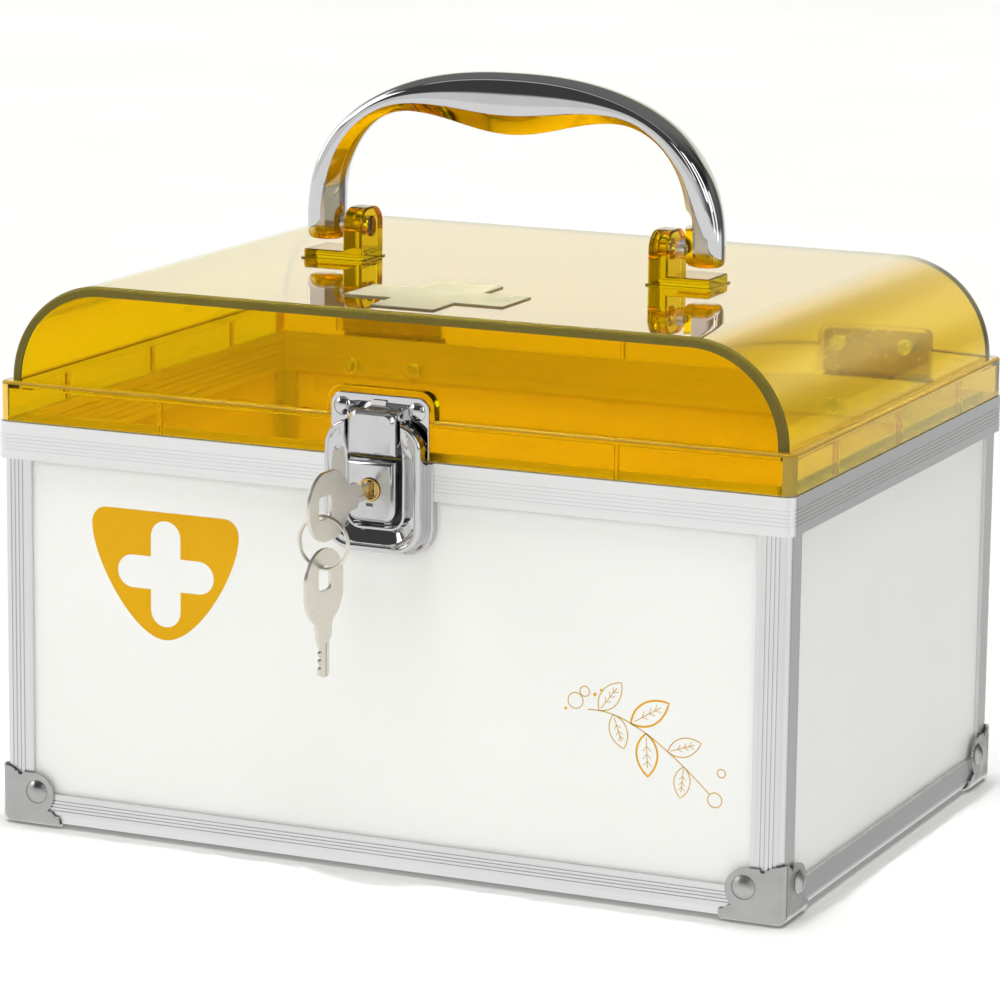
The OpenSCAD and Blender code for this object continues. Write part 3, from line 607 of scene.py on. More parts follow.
def arch_plate(a, z0, z1, r, cx=0.0, n=8):
    return ccw([V2(cx - a, z0), V2(cx + a, z0)] + arc(cx + a - r, z1 - r, r, 0, 90, n) + arc(cx - a + r, z1 - r, r, 90, 180, n))


EDGE_BAND = 1.9


def lid_shell():
    bm = bmesh.new()
    # outer skirt
    loop = rrect(0, 0, HW + 0.9, HD + 0.9, 3.5, 10)
    prof = [(0.35, LID_Z0), (0.1, LID_Z0 + 0.1), (0, LID_Z0 + 0.35)]
    prof += [(1.0 * (1 - math.cos(pi / 2 * k / 5)), LEDGE_Z - 1.0 + 1.0 * math.sin(pi / 2 * k / 5)) for k in range(6)]
    rings = [[bm.verts.new(Vector((p.x * MM, p.y * MM, z * MM))) for p in (offset(loop, ins) if ins else loop)] for ins, z in prof]
    for a, b in zip(rings, rings[1:]):
        ring_faces(bm, a, b)
    foot = arch_surface(bm, ARCH_W, ARCH_R, LEDGE_Z, LEDGE_Z, TOP_Z, ARCH_D, 1.3, band=EDGE_BAND)
    flat_ring(bm, rings[-1], foot)
    # inner surface
    inner = skirt_inner()
    zc = LEDGE_Z - LID_T
    lo = [bm.verts.new(Vector((p.x * MM, p.y * MM, LID_Z0 * MM))) for p in inner]
    hi = [bm.verts.new(Vector((p.x * MM, p.y * MM, zc * MM))) for p in inner]
    ring_faces(bm, lo, hi)
    foot2 = arch_surface(bm, ARCH_W - LID_T, ARCH_R - LID_T, zc, LEDGE_Z, TOP_Z - LID_T, ARCH_D - LID_T, 0.6, extra_foot=True)
    flat_ring(bm, hi, foot2)
    flat_ring(bm, rings[0], lo)
    shell = to_object("lid_shell_clear", bm)
    pads = []
    bm = bmesh.new()
    plate(bm, [arch_plate(18.4, LEDGE_Z - 0.6, BODY_H + 21.8, 5)], ARCH_D - 1, -STRIKE_Y, 0.45, 0, 3)
    pads.append(to_object("pad_f", bm))
    for s in (-1, 1):
        bm = bmesh.new()
        plate(bm, [arch_plate(20, LID_Z0 + 3.2, LID_Z0 + 19.5, 3, s * 90)], -(HD + RIM_OUT), -(ARCH_D - 1), 0, 0.35, 3)
        pads.append(to_object("pad_r%d" % s, bm))
    boolean(shell, pads, "UNION")
    dress(shell, AMBER, "lid", ["lid_shell"], sharp=40)
    # painted shade: the thick edges, the ledge rounding and the foot of the sheet get opaque darker colours, and the
    # corners get painted light on the left and painted shade on the right
    for m in (AMBER_EDGE_PAINTED_SHADE, AMBER_LIP_PAINTED_SHADE, AMBER_CORNER_PAINTED_LIGHT, AMBER_FOOT_PAINTED_SHADE, AMBER_CORNER_PAINTED_SHADE):
        shell.data.materials.append(m)
    for p in shell.data.polygons:
        c, n = p.center / MM, p.normal
        ax, ay = abs(c.x), abs(c.y)
        outer = ax > HW - 0.4 or ay > HD - 0.4
        # distance below the arch's outer surface, measured along its normal
        if ax > ARCH_W - ARCH_R:
            depth = ARCH_R - math.hypot(ax - (ARCH_W - ARCH_R), c.z - LEDGE_Z)
        else:
            depth = TOP_Z - c.z
        if c.z > LEDGE_Z + 0.05 and ay > ARCH_D - 1.35 and depth < 1.3 + EDGE_BAND and (ay > ARCH_D - 0.02 or n.y * c.y > 0.02):
            p.material_index = 1
        elif outer and LEDGE_Z - 0.98 < c.z < LEDGE_Z - 0.02 and abs(c.x) < HW + 2 and n.z > 0.05:
            p.material_index = 2
        elif outer and LID_Z0 + 0.4 < c.z < LEDGE_Z - 0.9 and min(abs(n.x), abs(n.y)) > 0.06 and abs(n.z) < 0.2:
            # painted light on the left corners, painted shade on the right ones
            p.material_index = 3 if c.x < 0 else 5
        elif outer and c.z < LID_Z0 + 0.3 and abs(n.z) < 0.95 and n.z < -0.05:
            p.material_index = 4
    return shell


lid = lid_shell()
# clear acrylic lets the studio light through to the inside
lid.visible_shadow = False


# ------------------------------------------------------------------ handle bow
BOW_HW = 73.75


def bow_outer(t):
    c, s = math.cos(t), math.sin(t)
    return V2(BOW_HW * math.copysign(abs(c) ** 0.85, c), PIVOT_Z + (BOW_Z - PIVOT_Z) * abs(s) ** 0.85)


LEG_IN = BOW_HW - 12.4
PEAK_X = LEG_IN * 0.592
PEAK_Z = BOW_Z - 14.4


def bow_inner(x):
    x = abs(x)
    if x <= PEAK_X:
        return PEAK_Z - 5.6 * (1 + math.cos(pi * x / PEAK_X)) / 2
    q = max(0.0, 1 - ((x - PEAK_X) / (LEG_IN - PEAK_X)) ** 2)
    return PIVOT_Z + 10.7 + (PEAK_Z - PIVOT_Z - 10.7) * math.sqrt(q)


def handle_bow():
    # stations of the right half from the leg end up to the middle: (inner point, outer point, depth scale)
    inner_curve = [V2(LEG_IN, PIVOT_Z), V2(LEG_IN, PIVOT_Z + 5), V2(LEG_IN, PIVOT_Z + 10.7)]
    for i in range(1, 41):
        x = PEAK_X + (LEG_IN - PEAK_X) * math.cos(pi / 2 * i / 40)
        inner_curve.append(V2(x, bow_inner(x)))
    for i in range(1, 41):
        x = PEAK_X * (1 - i / 40)
        inner_curve.append(V2(x, bow_inner(x)))
    cum = [0.0]
    for a, b in zip(inner_curve, inner_curve[1:]):
        cum.append(cum[-1] + (b - a).length)

    def inner_at(s):
        s = max(0.0, min(s, cum[-1]))
        for k in range(len(cum) - 1):
            if s <= cum[k + 1]:
                f = (s - cum[k]) / max(cum[k + 1] - cum[k], 1e-9)
                return inner_curve[k].lerp(inner_curve[k + 1], f)
        return inner_curve[-1]

    N = 64
    ts = [pi / 2 * i / N for i in range(N + 1)]
    outer = [bow_outer(t) for t in ts]
    # arc length of the outer curve matched to the inner curve, weighted so that sections stay square to the bow
    co = [0.0]
    for a, b in zip(outer, outer[1:]):
        co.append(co[-1] + (b - a).length)
    half = []
    s_prev = 0.0
    for i, o in enumerate(outer):
        if i == 0:
            half.append((V2(LEG_IN, PIVOT_Z), o))
            continue
        if i == N:
            half.append((V2(0, bow_inner(0)), o))
            continue
        tan = (outer[i + 1] - outer[i - 1]).normalized()
        nrm = V2(-tan.y, tan.x)
        if nrm.dot(V2(0, PIVOT_Z + 18) - o) < 0:
            nrm = -nrm
        best, bs = 1e9, s_prev
        for k in range(0, 401):
            s = s_prev + (cum[-1] - s_prev) * k / 400
            p = inner_at(s)
            d = p - o
            off = abs(d.x * nrm.y - d.y * nrm.x)
            if off < best - 1e-6 and d.length < 32:
                best, bs = off, s
        s_prev = bs
        half.append((inner_at(bs), o))
    # even out the steps along the inner curve
    ins = [h[0].copy() for h in half]
    for _ in range(6):
        ins = [ins[0]] + [ins[i - 1] * 0.25 + ins[i] * 0.5 + ins[i + 1] * 0.25 for i in range(1, N)] + [ins[-1]]
    fixed = []
    for p, h in zip(ins, half):
        x = max(0.0, min(p.x, LEG_IN))
        z = bow_inner(x) if x < LEG_IN - 0.02 and p.y > PIVOT_Z + 10.7 else p.y
        fixed.append((V2(x, z), h[1]))
    half = fixed
    stations = []
    # rounded leg end below the pivot
    for dz, sc, inset in ((-5.0, 0.60, 2.2), (-4.85, 0.665, 1.35), (-4.45, 0.735, 0.7), (-3.9, 0.80, 0.28), (-3.1, 0.87, 0.06), (-2.0, 0.945, 0.0), (-1.0, 0.985, 0.0)):
        stations.append((V2(LEG_IN + inset, PIVOT_Z + dz), V2(BOW_HW - inset, PIVOT_Z + dz), sc * 0.84))
    for i, (a, b) in enumerate(half):
        q = max(0.0, min(1.0, (PIVOT_Z + 30 - 0.5 * (a.y + b.y)) / 30))
        stations.append((a, b, 1.0 - 0.16 * q * q * (3 - 2 * q)))
    full = stations + [(V2(-a.x, a.y), V2(-b.x, b.y), s) for a, b, s in stations[:-1][::-1]]
    bm = bmesh.new()
    rings = []
    HDp = 7.3
    for a, b, sc in full:
        d = b - a
        T = d.length
        d = d / T
        hc = 0.335 * T
        hs = hc + (T - hc) * 0.2
        sec = [(0.0, 0.0), (0.0, 2.9), (0.12, 3.35), (0.4, 3.62)]
        k = (7.3 - 3.62) / max(hc - 0.4, 0.1)
        sec += [(hc - 0.35, 7.3 - 0.35 * k * 0.9), (hc - 0.1, 7.24), (hc + 0.15, HDp)]
        nd = 12
        for q in range(nd + 1):
            an = pi / 2 * q / nd
            sec.append((hs + (T - hs) * math.sin(an) ** 0.92, HDp * math.cos(an) ** 0.8 if q < nd else 0.0))
        pts = [(h, y * sc) for h, y in sec]
        ring = pts + [(h, -y) for h, y in pts[1:-1][::-1]]
        rings.append([bm.verts.new(Vector(((a.x + d.x * h) * MM, y * MM, (a.y + d.y * h) * MM))) for h, y in ring])
    for ra, rb_ in zip(rings, rings[1:]):
        ring_faces(bm, ra, rb_)
    bm.faces.new(rings[0])
    bm.faces.new(rings[-1][::-1])
    ob = to_object("handle_bow_chrome", bm)
    return dress(ob, CHROME, "handle", ["handle_bow"], sharp=24, weighted=False)


handle_bow()


# ------------------------------------------------------------------ handle brackets
def bracket(sign, name, node):
    parts = []
    bm = bmesh.new()
    plate(bm, [rrect(61.5, 0, 11.4, 9.3, 1.2, 5)], TOP_Z + 0.001, TOP_Z + 0.5, 0.2, 0, 3, place_top)
    if sign < 0:
        mirror_x(bm)
    base = to_object(name, bm)
    bm = bmesh.new()
    plate(bm, [rrect(61.5, 0, 10.6, 8.5, 1.0, 5)], TOP_Z + 0.1, TOP_Z + 3.2, 0.7, 0, 4, place_top)
    if sign < 0:
        mirror_x(bm)
    parts.append(to_object("bp1", bm))
    bm = bmesh.new()
    prof = arch_plate(8.5, TOP_Z + 0.2, TOP_Z + 17.4, 6, 0, 12)
    plate(bm, [prof], 50.9, 57.7, 0.8, 0.8, 4, place_side)
    if sign < 0:
        mirror_x(bm)
    parts.append(to_object("bp2", bm))
    boolean(base, parts, "UNION")
    bm = bmesh.new()
    rod(bm, (42 * sign, 0, PIVOT_Z), (62 * sign, 0, PIVOT_Z), 1.98, 32)
    c1 = to_object("c1", bm)
    bm = bmesh.new()
    rod(bm, (49 * sign, 0, PIVOT_Z), (52.9 * sign, 0, PIVOT_Z), 3.5, 40)
    c2 = to_object("c2", bm)
    boolean(base, [c2, c1], "DIFFERENCE")
    ob = dress(base, AMBER2, "lid", [node], sharp=35)
    ob.visible_shadow = False
    return ob


bracket(1, "bracket_right_amber", "handle_bracket_right")
bracket(-1, "bracket_left_amber", "handle_bracket_left")

# snap-in caps over the pivot screws
for sign, name in ((1, "right"), (-1, "left")):
    bm = bmesh.new()
    prof = [(0, 0.0), (3.3, 0.0), (3.42, -0.1), (3.42, -0.26), (3.3, -0.36), (2.9, -0.4), (2.5, -0.3), (1.4, -0.34), (0, -0.36)]
    lathe(bm, prof, lambda x, y, h: Vector((51.27 + h, x, PIVOT_Z + y)) * MM, 40)
    if sign < 0:
        mirror_x(bm)
    dress(to_object("pivot_cap_" + name, bm), AMBER2, "lid", (), 40, False)


# ------------------------------------------------------------------ rivets
def rivet(bm, origin, direction, r, h, shank, length, r2):
    """domed head at origin, shank into the wall, tubular rolled end inside"""
    o = Vector(origin)
    ax = Vector(direction).normalized()
    u = ax.orthogonal().normalized()
    v = ax.cross(u)
    L = length
    prof = [(0, h)]
    rr = (r * r + h * h) / (2 * h)
    for k in range(1, 9):
        a = math.asin(min(r / rr, 1)) * k / 8
        prof.append((rr * math.sin(a) * 0.985, h - rr + rr * math.cos(a)))
    prof += [(r, 0.12), (r * 0.985, 0.0), (shank, 0.0), (shank, -L), (r2 - 0.35, -L - 0.02), (r2, -L - 0.35), (r2 - 0.1, -L - 0.75), (r2 - 0.6, -L - 1.0), (shank * 0.75, -L - 0.85), (shank * 0.6, -L - 0.3), (0, -L - 0.2)]
    lathe(bm, prof, lambda x, y, hh: (o + u * x + v * y + ax * hh) * MM, 36)


bm = bmesh.new()
for x in (-1, 1):
    for y in (-1, 1):
        rivet(bm, (x * (HW - 12), y * (HD + 1.2), 11.5), (0, y, 0), 3.9, 1.7, 1.55, 6.5, 2.6)
        rivet(bm, (x * (HW + 1.2), y * (HD - 12), 11.5), (x, 0, 0), 3.9, 1.7, 1.55, 6.5, 2.6)
dress(to_object("cap_rivets_domed", bm), RIVET, "box", ["cap_rivets"], 45, False)

bm = bmesh.new()
for s in (-1, 1):
    for t in (-12, 12):
        rivet(bm, (s * 90 + t, HD + RIM_OUT + 0.9, BODY_H - 8.5), (0, 1, 0), 2.7, 1.2, 1.6, 8.85, 2.7)
dress(to_object("hinge_body_rivets_domed", bm), STEEL, "box", ["hinge_body_rivets"], 45, False)
bm = bmesh.new()
for s in (-1, 1):
    for t in (-12, 12):
        rivet(bm, (s * 90 + t, HD + RIM_OUT + 0.9, LID_Z0 + 13.5), (0, 1, 0), 2.7, 1.2, 1.6, 7.3, 2.7)
dress(to_object("hinge_lid_rivets_domed", bm), STEEL, "lid", ["hinge_lid_rivets"], 45, False)
bm = bmesh.new()
for s in (-1, 1):
    rivet(bm, (s * 12.7, STRIKE_Y - 0.8, BODY_H + 15.5), (0, -1, 0), 3.0, 1.5, 1.5, 6.7, 2.4)
dress(to_object("strike_rivets_domed", bm), CHROME, "lid", ["strike_rivets"], 45, False)
bm = bmesh.new()
for s in (-1, 1):
    rivet(bm, (s * 12.7, BASE_Y - 0.8, BODY_H - 6.5), (0, -1, 0), 2.6, 1.1, 1.6, 8.75, 2.6)
dress(to_object("latch_rivets_domed", bm), CHROME, "box", ["latch_rivets"], 45, False)


# ------------------------------------------------------------------ latch
def u_plate(a, z0, z1, r, cx=0.0, n=10):
    """plate outline with round lower corners"""
    return ccw([V2(cx + a, z1), V2(cx - a, z1)] + arc(cx - a + r, z0 + r, r, 180, 270, n) + arc(cx + a - r, z0 + r, r, 270, 360, n))


LATCH_Z = 104.7
bm = bmesh.new()
plate(bm, [u_plate(18.5, LATCH_Z - 1.4, BODY_H, 9)], -BASE_Y, -BASE_Y + 0.8, 0.45, 0, 4)
base = to_object("latch_base_chrome", bm)
bm = bmesh.new()
plate(bm, [u_plate(18.5, LATCH_Z - 1.4, 120.95, 9)], HD - 1.2, -BASE_Y + 0.1, 0, 0, 3)
boolean(base, [to_object("lb", bm)], "UNION")
bm = bmesh.new()
rod(bm, (0, -100, KEY_Z - 0.9), (0, -92, KEY_Z - 0.9), 7.0, 40)
boolean(base, [to_object("lbh", bm)], "DIFFERENCE")
dress(base, CHROME, "box", ["latch_base"], 35)

# U-shaped frame: a lip beside the channel, a slope up from it, and a bead along the outer edge
CH = 9.15
OUTER = [(0, 99.75), (0, 101.0), (0, 102.6), (0.02, 103.6), (0.10, 104.05), (0.25, 104.42), (0.48, 104.72), (0.80, 104.93), (1.15, 105.0), (1.50, 104.93), (1.80, 104.72), (2.0, 104.48), (2.12, 104.33), (2.3, 104.3)]
INNER = [(0, 99.75), (0, 101.2), (0, 102.0), (0.06, 102.22), (0.22, 102.36), (0.45, 102.4), (0.66, 102.33), (0.82, 102.2), (0.98, 102.2), (2.0, 102.72), (3.0, 103.25), (4.0, 103.78), (4.75, 104.18), (4.95, 104.3)]


def latch_frame():
    top, bottom = 145.5, 112.1
    a_in = math.degrees(math.acos((8.0 - CH) / 8.5))
    pts = [(p, 0.0) for p in arc(-8.0, top - 8.5, 8.5, a_in, 180, 12) + arc(-8.0, LATCH_Z + 8.5, 8.5, 180, 270, 14) + arc(8.0, LATCH_Z + 8.5, 8.5, 270, 360, 14) + arc(8.0, top - 8.5, 8.5, 0, 180 - a_in, 12)]
    zt = top - 8.5 + 8.5 * math.sin(math.radians(a_in))
    zs = [zt - 1.2 - 1.5 * i for i in range(7)] + [130.5, 127.0, 122.0]

    def kind(z):
        return max(0.0, min(1.0, (140.5 - z) / 6.5))

    pts += [(V2(CH, z), kind(z)) for z in zs]
    pts += [(p, 1.0) for p in arc(CH - 4.2, bottom + 4.2, 4.2, 0, -90, 10) + arc(-CH + 4.2, bottom + 4.2, 4.2, -90, -180, 10)]
    pts += [(V2(-CH, z), kind(z)) for z in zs[::-1]]
    loop = [p for p, _ in pts]
    if area(loop) < 0:
        pts = pts[::-1]
        loop = [p for p, _ in pts]
    n = len(loop)
    bm = bmesh.new()
    rings = []
    for (do, wo), (di, wi) in zip(OUTER, INNER):
        ring = []
        for i in range(n):
            e1 = (loop[i] - loop[i - 1]).normalized()
            e2 = (loop[(i + 1) % n] - loop[i]).normalized()
            n1, n2 = V2(-e1.y, e1.x), V2(-e2.y, e2.x)
            m = (n1 + n2).normalized()
            k = pts[i][1]
            d = do + (di - do) * k
            w = wo + (wi - wo) * k
            q = loop[i] + m * (d / max(m.dot(n1), 0.55))
            ring.append(bm.verts.new(place_front(q.x, q.y, w)))
        rings.append(ring)
    for ra, rb_ in zip(rings, rings[1:]):
        ring_faces(bm, ra, rb_)
    tris = tessellate_polygon([[Vector((v.co.x, v.co.z, 0)) * 1000 for v in rings[-1]]])
    for t in tris:
        bm.faces.new([rings[-1][i] for i in t])
    tris = tessellate_polygon([[Vector((v.co.x, v.co.z, 0)) * 1000 for v in rings[0]]])
    for t in tris:
        bm.faces.new([rings[0][i] for i in t][::-1])
    ob = to_object("latch_frame_chrome", bm)
    bm = bmesh.new()
    boxy(bm, -25, 25, -101.3, -95, 132.5, 170, 0.0)
    boolean(ob, [to_object("cut", bm)], "DIFFERENCE")
    return dress(ob, CHROME, "box", ["latch_frame"], 40)


latch_frame()

# a dark sheet on the floor of the channel, behind the slide: a painted shadow in the recess
bm = bmesh.new()
plate(bm, [u_plate(9.1, 112.2, 132.95, 4.1), circle(0, KEY_Z - 0.9, 7.05, 48)], 99.72, 100.0, 0.06, 0, 2)
dress(to_object("latch_channel_painted_shadow", bm), CHANNEL_PAINTED_SHADOW, "box", (), 40, False)

# slide with the key hole
SZ0, SZ1 = 114.2, 133.2
bm = bmesh.new()
slot_hole = [V2(-1.2, KEY_Z - 5.3), V2(1.2, KEY_Z - 5.3), V2(1.2, KEY_Z - 4.2), V2(-1.2, KEY_Z - 4.2)]
plate(bm, [u_plate(8.1, SZ0, SZ1, 3.8), circle(0, KEY_Z, 3.65, 48)], 100.3, 106.0, [-1.25, 0.25], [0.3, 0.1], 5)
slide = to_object("latch_slide_chrome", bm)
bm = bmesh.new()
boxy(bm, -1.2, 1.2, -108, -103.6, KEY_Z - 5.3, KEY_Z - 4.2, 0.0)
cuts = [to_object("sh", bm)]
for s in (-1, 1):
    bm = bmesh.new()
    rod(bm, (s * 5.2, BASE_Y - 4.6, SZ0 - 1), (s * 5.2, BASE_Y - 4.6, SZ0 + 7), 1.5, 24)
    cuts.append(to_object("sp", bm))
boolean(slide, cuts, "DIFFERENCE")
dress(slide, SATIN, "slide", ["latch_slide"], 40)

# hasp: flat face with rounded edges, rolled eye, catch
bm = bmesh.new()
plate(bm, [arch_plate(8.1, 135.0, 148.9, 3.8, 0, 12)], 103.4, 106.0, -1.3, 0.3, 5)
hasp = to_object("hasp_chrome", bm)
adds = []
bm = bmesh.new()
rod(bm, (-8.1, HASP_Y, HASP_Z), (8.1, HASP_Y, HASP_Z), 1.75, 36, 0.25)
adds.append(to_object("hb", bm))
bm = bmesh.new()
boxy(bm, -8.05, 8.05, -104.2, HASP_Y, HASP_Z - 1.7, HASP_Z - 0.1, 0.0)
adds.append(to_object("hl", bm))
bm = bmesh.new()
boxy(bm, -3.5, 3.5, -103.6, -101.9, 135.0, 139.0, 0.0)
adds.append(to_object("hc", bm))
boolean(hasp, adds, "UNION")
bm = bmesh.new()
rod(bm, (-12, HASP_Y, HASP_Z), (12, HASP_Y, HASP_Z), 0.86, 24)
boolean(hasp, [to_object("hp", bm)], "DIFFERENCE")
dress(hasp, SATIN, "hasp", ["hasp"], 40)

# strike plate with its round boss and ears
bm = bmesh.new()
plate(bm, [arch_plate(16.7, 133.6, 153.0, 4, 0, 10), rrect(0, 150.4, 2.4, 0.8, 0.3, 3)], -STRIKE_Y, -STRIKE_Y + 0.8, [0.35, 0.15], 0, 3)
strike = to_object("strike_plate_chrome", bm)
adds = []
bm = bmesh.new()
plate(bm, [circle(0, 142, 8.4, 72), rrect(0, 150.4, 2.4, 0.8, 0.3, 3)], -STRIKE_Y + 0.1, -STRIKE_Y + 1.7, [0.6, 0.15], 0, 4)
adds.append(to_object("sb", bm))
for s in (-1, 1):
    bm = bmesh.new()
    ear = ccw(arc(HASP_Y, HASP_Z, 1.9, 90, 270, 14) + [V2(STRIKE_Y - 0.3, HASP_Z - 1.9), V2(STRIKE_Y - 0.3, HASP_Z + 1.9)])
    x0, x1 = (8.2, 9.0) if s > 0 else (-9.0, -8.2)
    plate(bm, [ear], x0, x1, 0.2, 0.2, 3, place_side)
    adds.append(to_object("ear%d" % s, bm))
boolean(strike, adds, "UNION")
dress(strike, CHROME, "lid", ["strike_plate"], 38)

# key cylinder: turned plug with a raised rim and the slanted keyway
bm = bmesh.new()
prof = [(0, 6.2), (3.45, 6.2), (3.58, 6.1), (3.58, -0.35), (3.55, -0.52), (3.4, -0.6), (3.2, -0.58), (3.02, -0.4), (2.9, -0.08), (2.7, 0.02), (0, 0.04)]
lathe(bm, prof, lambda x, y, h: Vector((x, -106.1 + h, KEY_Z + y)) * MM, 48)
plug = to_object("key_cylinder_brass", bm)
bm = bmesh.new()
boxy(bm, -0.75, 0.75, -3.0, 6.6, -2.85, 2.85, 0.0)
bmesh.ops.rotate(bm, verts=bm.verts, cent=(0, 0, 0), matrix=Matrix.Rotation(-KEY_ANGLE, 3, "Z"))
bmesh.ops.translate(bm, verts=bm.verts, vec=Vector((0, CYL_Y, KEY_Z)) * MM)
kw = [to_object("kw", bm)]
bm = bmesh.new()
boxy(bm, -0.3, 1.75, -3.0, 1.8, -2.15, 2.2, 0.0)
bmesh.ops.rotate(bm, verts=bm.verts, cent=(0, 0, 0), matrix=Matrix.Rotation(-KEY_ANGLE, 3, "Z"))
bmesh.ops.translate(bm, verts=bm.verts, vec=Vector((0, CYL_Y, KEY_Z)) * MM)
kw.append(to_object("kw2", bm))
boolean(plug, kw, "DIFFERENCE")
dress(plug, BRASS, "cylinder", ["key_cylinder"], 35)


# ------------------------------------------------------------------ keys and ring
def key_outline():
    R = 11.0
    xo = 24.7
    pts = arc(xo, 0, R, 0, 78, 20)
    pts += arc(22.9, 0, R, 102, 152, 18)
    pts += [V2(12.3, 4.45), V2(11.4, 4.2), V2(10, 4.1), V2(8.3, 4.1), V2(7.5, 3.8), V2(7.15, 3.25)]
    for s, d in ((4.4, 0.75), (1.9, 0.8), (-0.6, 0.75)):
        pts += [V2(s + 1.0, 2.65), V2(s + 0.35, 2.65 - d), V2(s - 0.35, 2.65 - d), V2(s - 1.0, 2.65)]
    pts += [V2(-3.3, 2.65), V2(-3.6, 2.3)]
    up = list(pts)
    low = arc(xo, 0, R, 0, -78, 20) + arc(22.9, 0, R, -102, -152, 18) + [V2(12.3, -4.45), V2(11.4, -4.2), V2(10, -4.1), V2(8.3, -4.1), V2(7.5, -3.8), V2(7.15, -3.25), V2(6.6, -2.65), V2(-3.0, -2.65)]
    tip = arc(-3.0, -1.05, 1.6, 270, 180, 8) + [V2(-4.5, 0.4), V2(-3.7, 0.9)]
    return ccw(up + tip[::-1] + low[::-1])


def key_mesh(name, mat4, body, node):
    bm = bmesh.new()
    hole = rrect(HOLE_S, 0, 3.7, 3.6, 1.6, 6)
    plate(bm, [key_outline(), hole], -0.6, 0.6, 0.14, 0.14, 2, place_top)
    # a milled groove along the blade on both faces
    ob = to_object(name, bm)
    bms = []
    for s in (-1, 1):
        b2 = bmesh.new()
        plate(b2, [[V2(-6, -0.9), V2(6.4, -0.9), V2(6.4, -0.3), V2(-6, -0.3)]], 0.35 if s > 0 else -0.8, 0.8 if s > 0 else -0.35, 0, 0, 1, place_top)
        bms.append(to_object("kg", b2))
    boolean(ob, bms, "DIFFERENCE")
    ob.data.transform(mat4)
    return dress(ob, KEYMET, body, [node], 35)


T1 = Matrix.Translation(Vector((0, CYL_Y, KEY_Z)) * MM) @ Matrix.Rotation(-pi / 2 - KEY_ANGLE, 4, "Z") @ Matrix.Rotation(DROOP, 4, "Y") @ Matrix.Rotation(pi / 2, 4, "X")
key_mesh("key_in_lock_nickel", T1, "key", "key_in_lock")
ring_c = Vector((-math.sin(KEY_ANGLE) * math.cos(DROOP) * HOLE_S, CYL_Y - math.cos(KEY_ANGLE) * math.cos(DROOP) * HOLE_S, 0))
RING_R, WIRE = 8.15, 0.42
ring_top = KEY_Z - math.sin(DROOP) * HOLE_S - 3.6 + 0.85
ring_low = ring_top - 2 * RING_R
zc2 = ring_low + 0.85 - 3.7
T2 = Matrix.Translation(Vector((ring_c.x, ring_c.y, zc2)) * MM) @ Matrix.Rotation(-KEY_ANGLE, 4, "Z") @ Matrix.Rotation(pi / 2, 4, "Z") @ Matrix.Rotation(pi / 2, 4, "X") @ Matrix.Rotation(pi / 2, 4, "Z") @ Matrix.Translation(Vector((-HOLE_S, 0, 0)) * MM)
key_mesh("spare_key_nickel", T2, "spare", "spare_key")

# split ring: two turns of one wire, with the crossover and the two cut ends
bm = bmesh.new()
turns = 2
n = 150
m_ = 14
rings = []
for i in range(n + 1):
    th = 2 * pi * turns * i / n
    f = (th - 2 * pi) / 0.5
    f = 0.5 + 0.5 * max(-1, min(1, f))
    off = -0.44 + 0.88 * (f * f * (3 - 2 * f))
    a = th + math.radians(200)
    c = Vector((ring_c.x + RING_R * math.cos(a), ring_c.y + off, ring_top - RING_R + RING_R * math.sin(a)))
    rad = Vector((math.cos(a), 0, math.sin(a)))
    end = min(i, n - i)
    r = WIRE * (0.55 if end == 0 else 0.85 if end == 1 else 1.0)
    rings.append([bm.verts.new((c + rad * (r * math.cos(2 * pi * k / m_)) + Vector((0, 1, 0)) * (r * math.sin(2 * pi * k / m_))) * MM) for k in range(m_)])
for a, b in zip(rings, rings[1:]):
    ring_faces(bm, a, b)
bm.faces.new(rings[0])
bm.faces.new(rings[-1][::-1])
dress(to_object("split_ring_wire", bm), KEYMET, "ring", ["split_ring"], 60, False)


# two small coil springs under the slide
bm = bmesh.new()
SPRING_Y, SPRING_Z0, SPRING_Z1, SPRING_R, SPRING_WIRE = -103.5, 112.45, 120.83, 1.15, 0.2
for s in (-1, 1):
    rings = []
    n = 200
    for i in range(n + 1):
        f = i / n
        a = 2 * pi * 8 * f
        # closed end turns, even pitch between them
        g = min(max((f - 0.09) / 0.82, 0.0), 1.0)
        z = SPRING_Z0 + SPRING_WIRE + (SPRING_Z1 - SPRING_Z0 - 2 * SPRING_WIRE - 0.8) * g + 0.8 * f
        rad = Vector((math.cos(a), math.sin(a), 0))
        c = Vector((s * 5.2, SPRING_Y, z)) + rad * SPRING_R
        end = min(i, n - i)
        w = SPRING_WIRE * (0.6 if end == 0 else 0.9 if end == 1 else 1.0)
        rings.append([bm.verts.new((c + rad * (w * math.cos(2 * pi * k / 8)) + Vector((0, 0, 1)) * (w * math.sin(2 * pi * k / 8))) * MM) for k in range(8)])
    for a, b in zip(rings, rings[1:]):
        ring_faces(bm, a, b)
    bm.faces.new(rings[0])
    bm.faces.new(rings[-1][::-1])
springs = dress(to_object("latch_springs_coil", bm), STEEL, "slide", ["latch_springs"], 60, False)
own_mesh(springs)


# ------------------------------------------------------------------ cross plate on the lid
bm = bmesh.new()
cx, cy, A1, B1, C1, D1 = 2.0, -62.0, 27.3, 10.8, 10.8, 26.2
cross = [V2(-A1, -B1), V2(-C1, -B1), V2(-C1, -D1), V2(C1, -D1), V2(C1, -B1), V2(A1, -B1), V2(A1, B1), V2(C1, B1), V2(C1, D1), V2(-C1, D1), V2(-C1, B1), V2(-A1, B1)]
plate(bm, [[p + V2(cx, cy) for p in cross]], TOP_Z + 0.001, TOP_Z + 0.6, 0.28, 0, 3, place_top)
dress(to_object("cross_plate_frosted", bm), FROST, "lid", ["lid_cross_plate"], 40)


# ------------------------------------------------------------------ print on the front
PANEL_Y = HD - 1.25


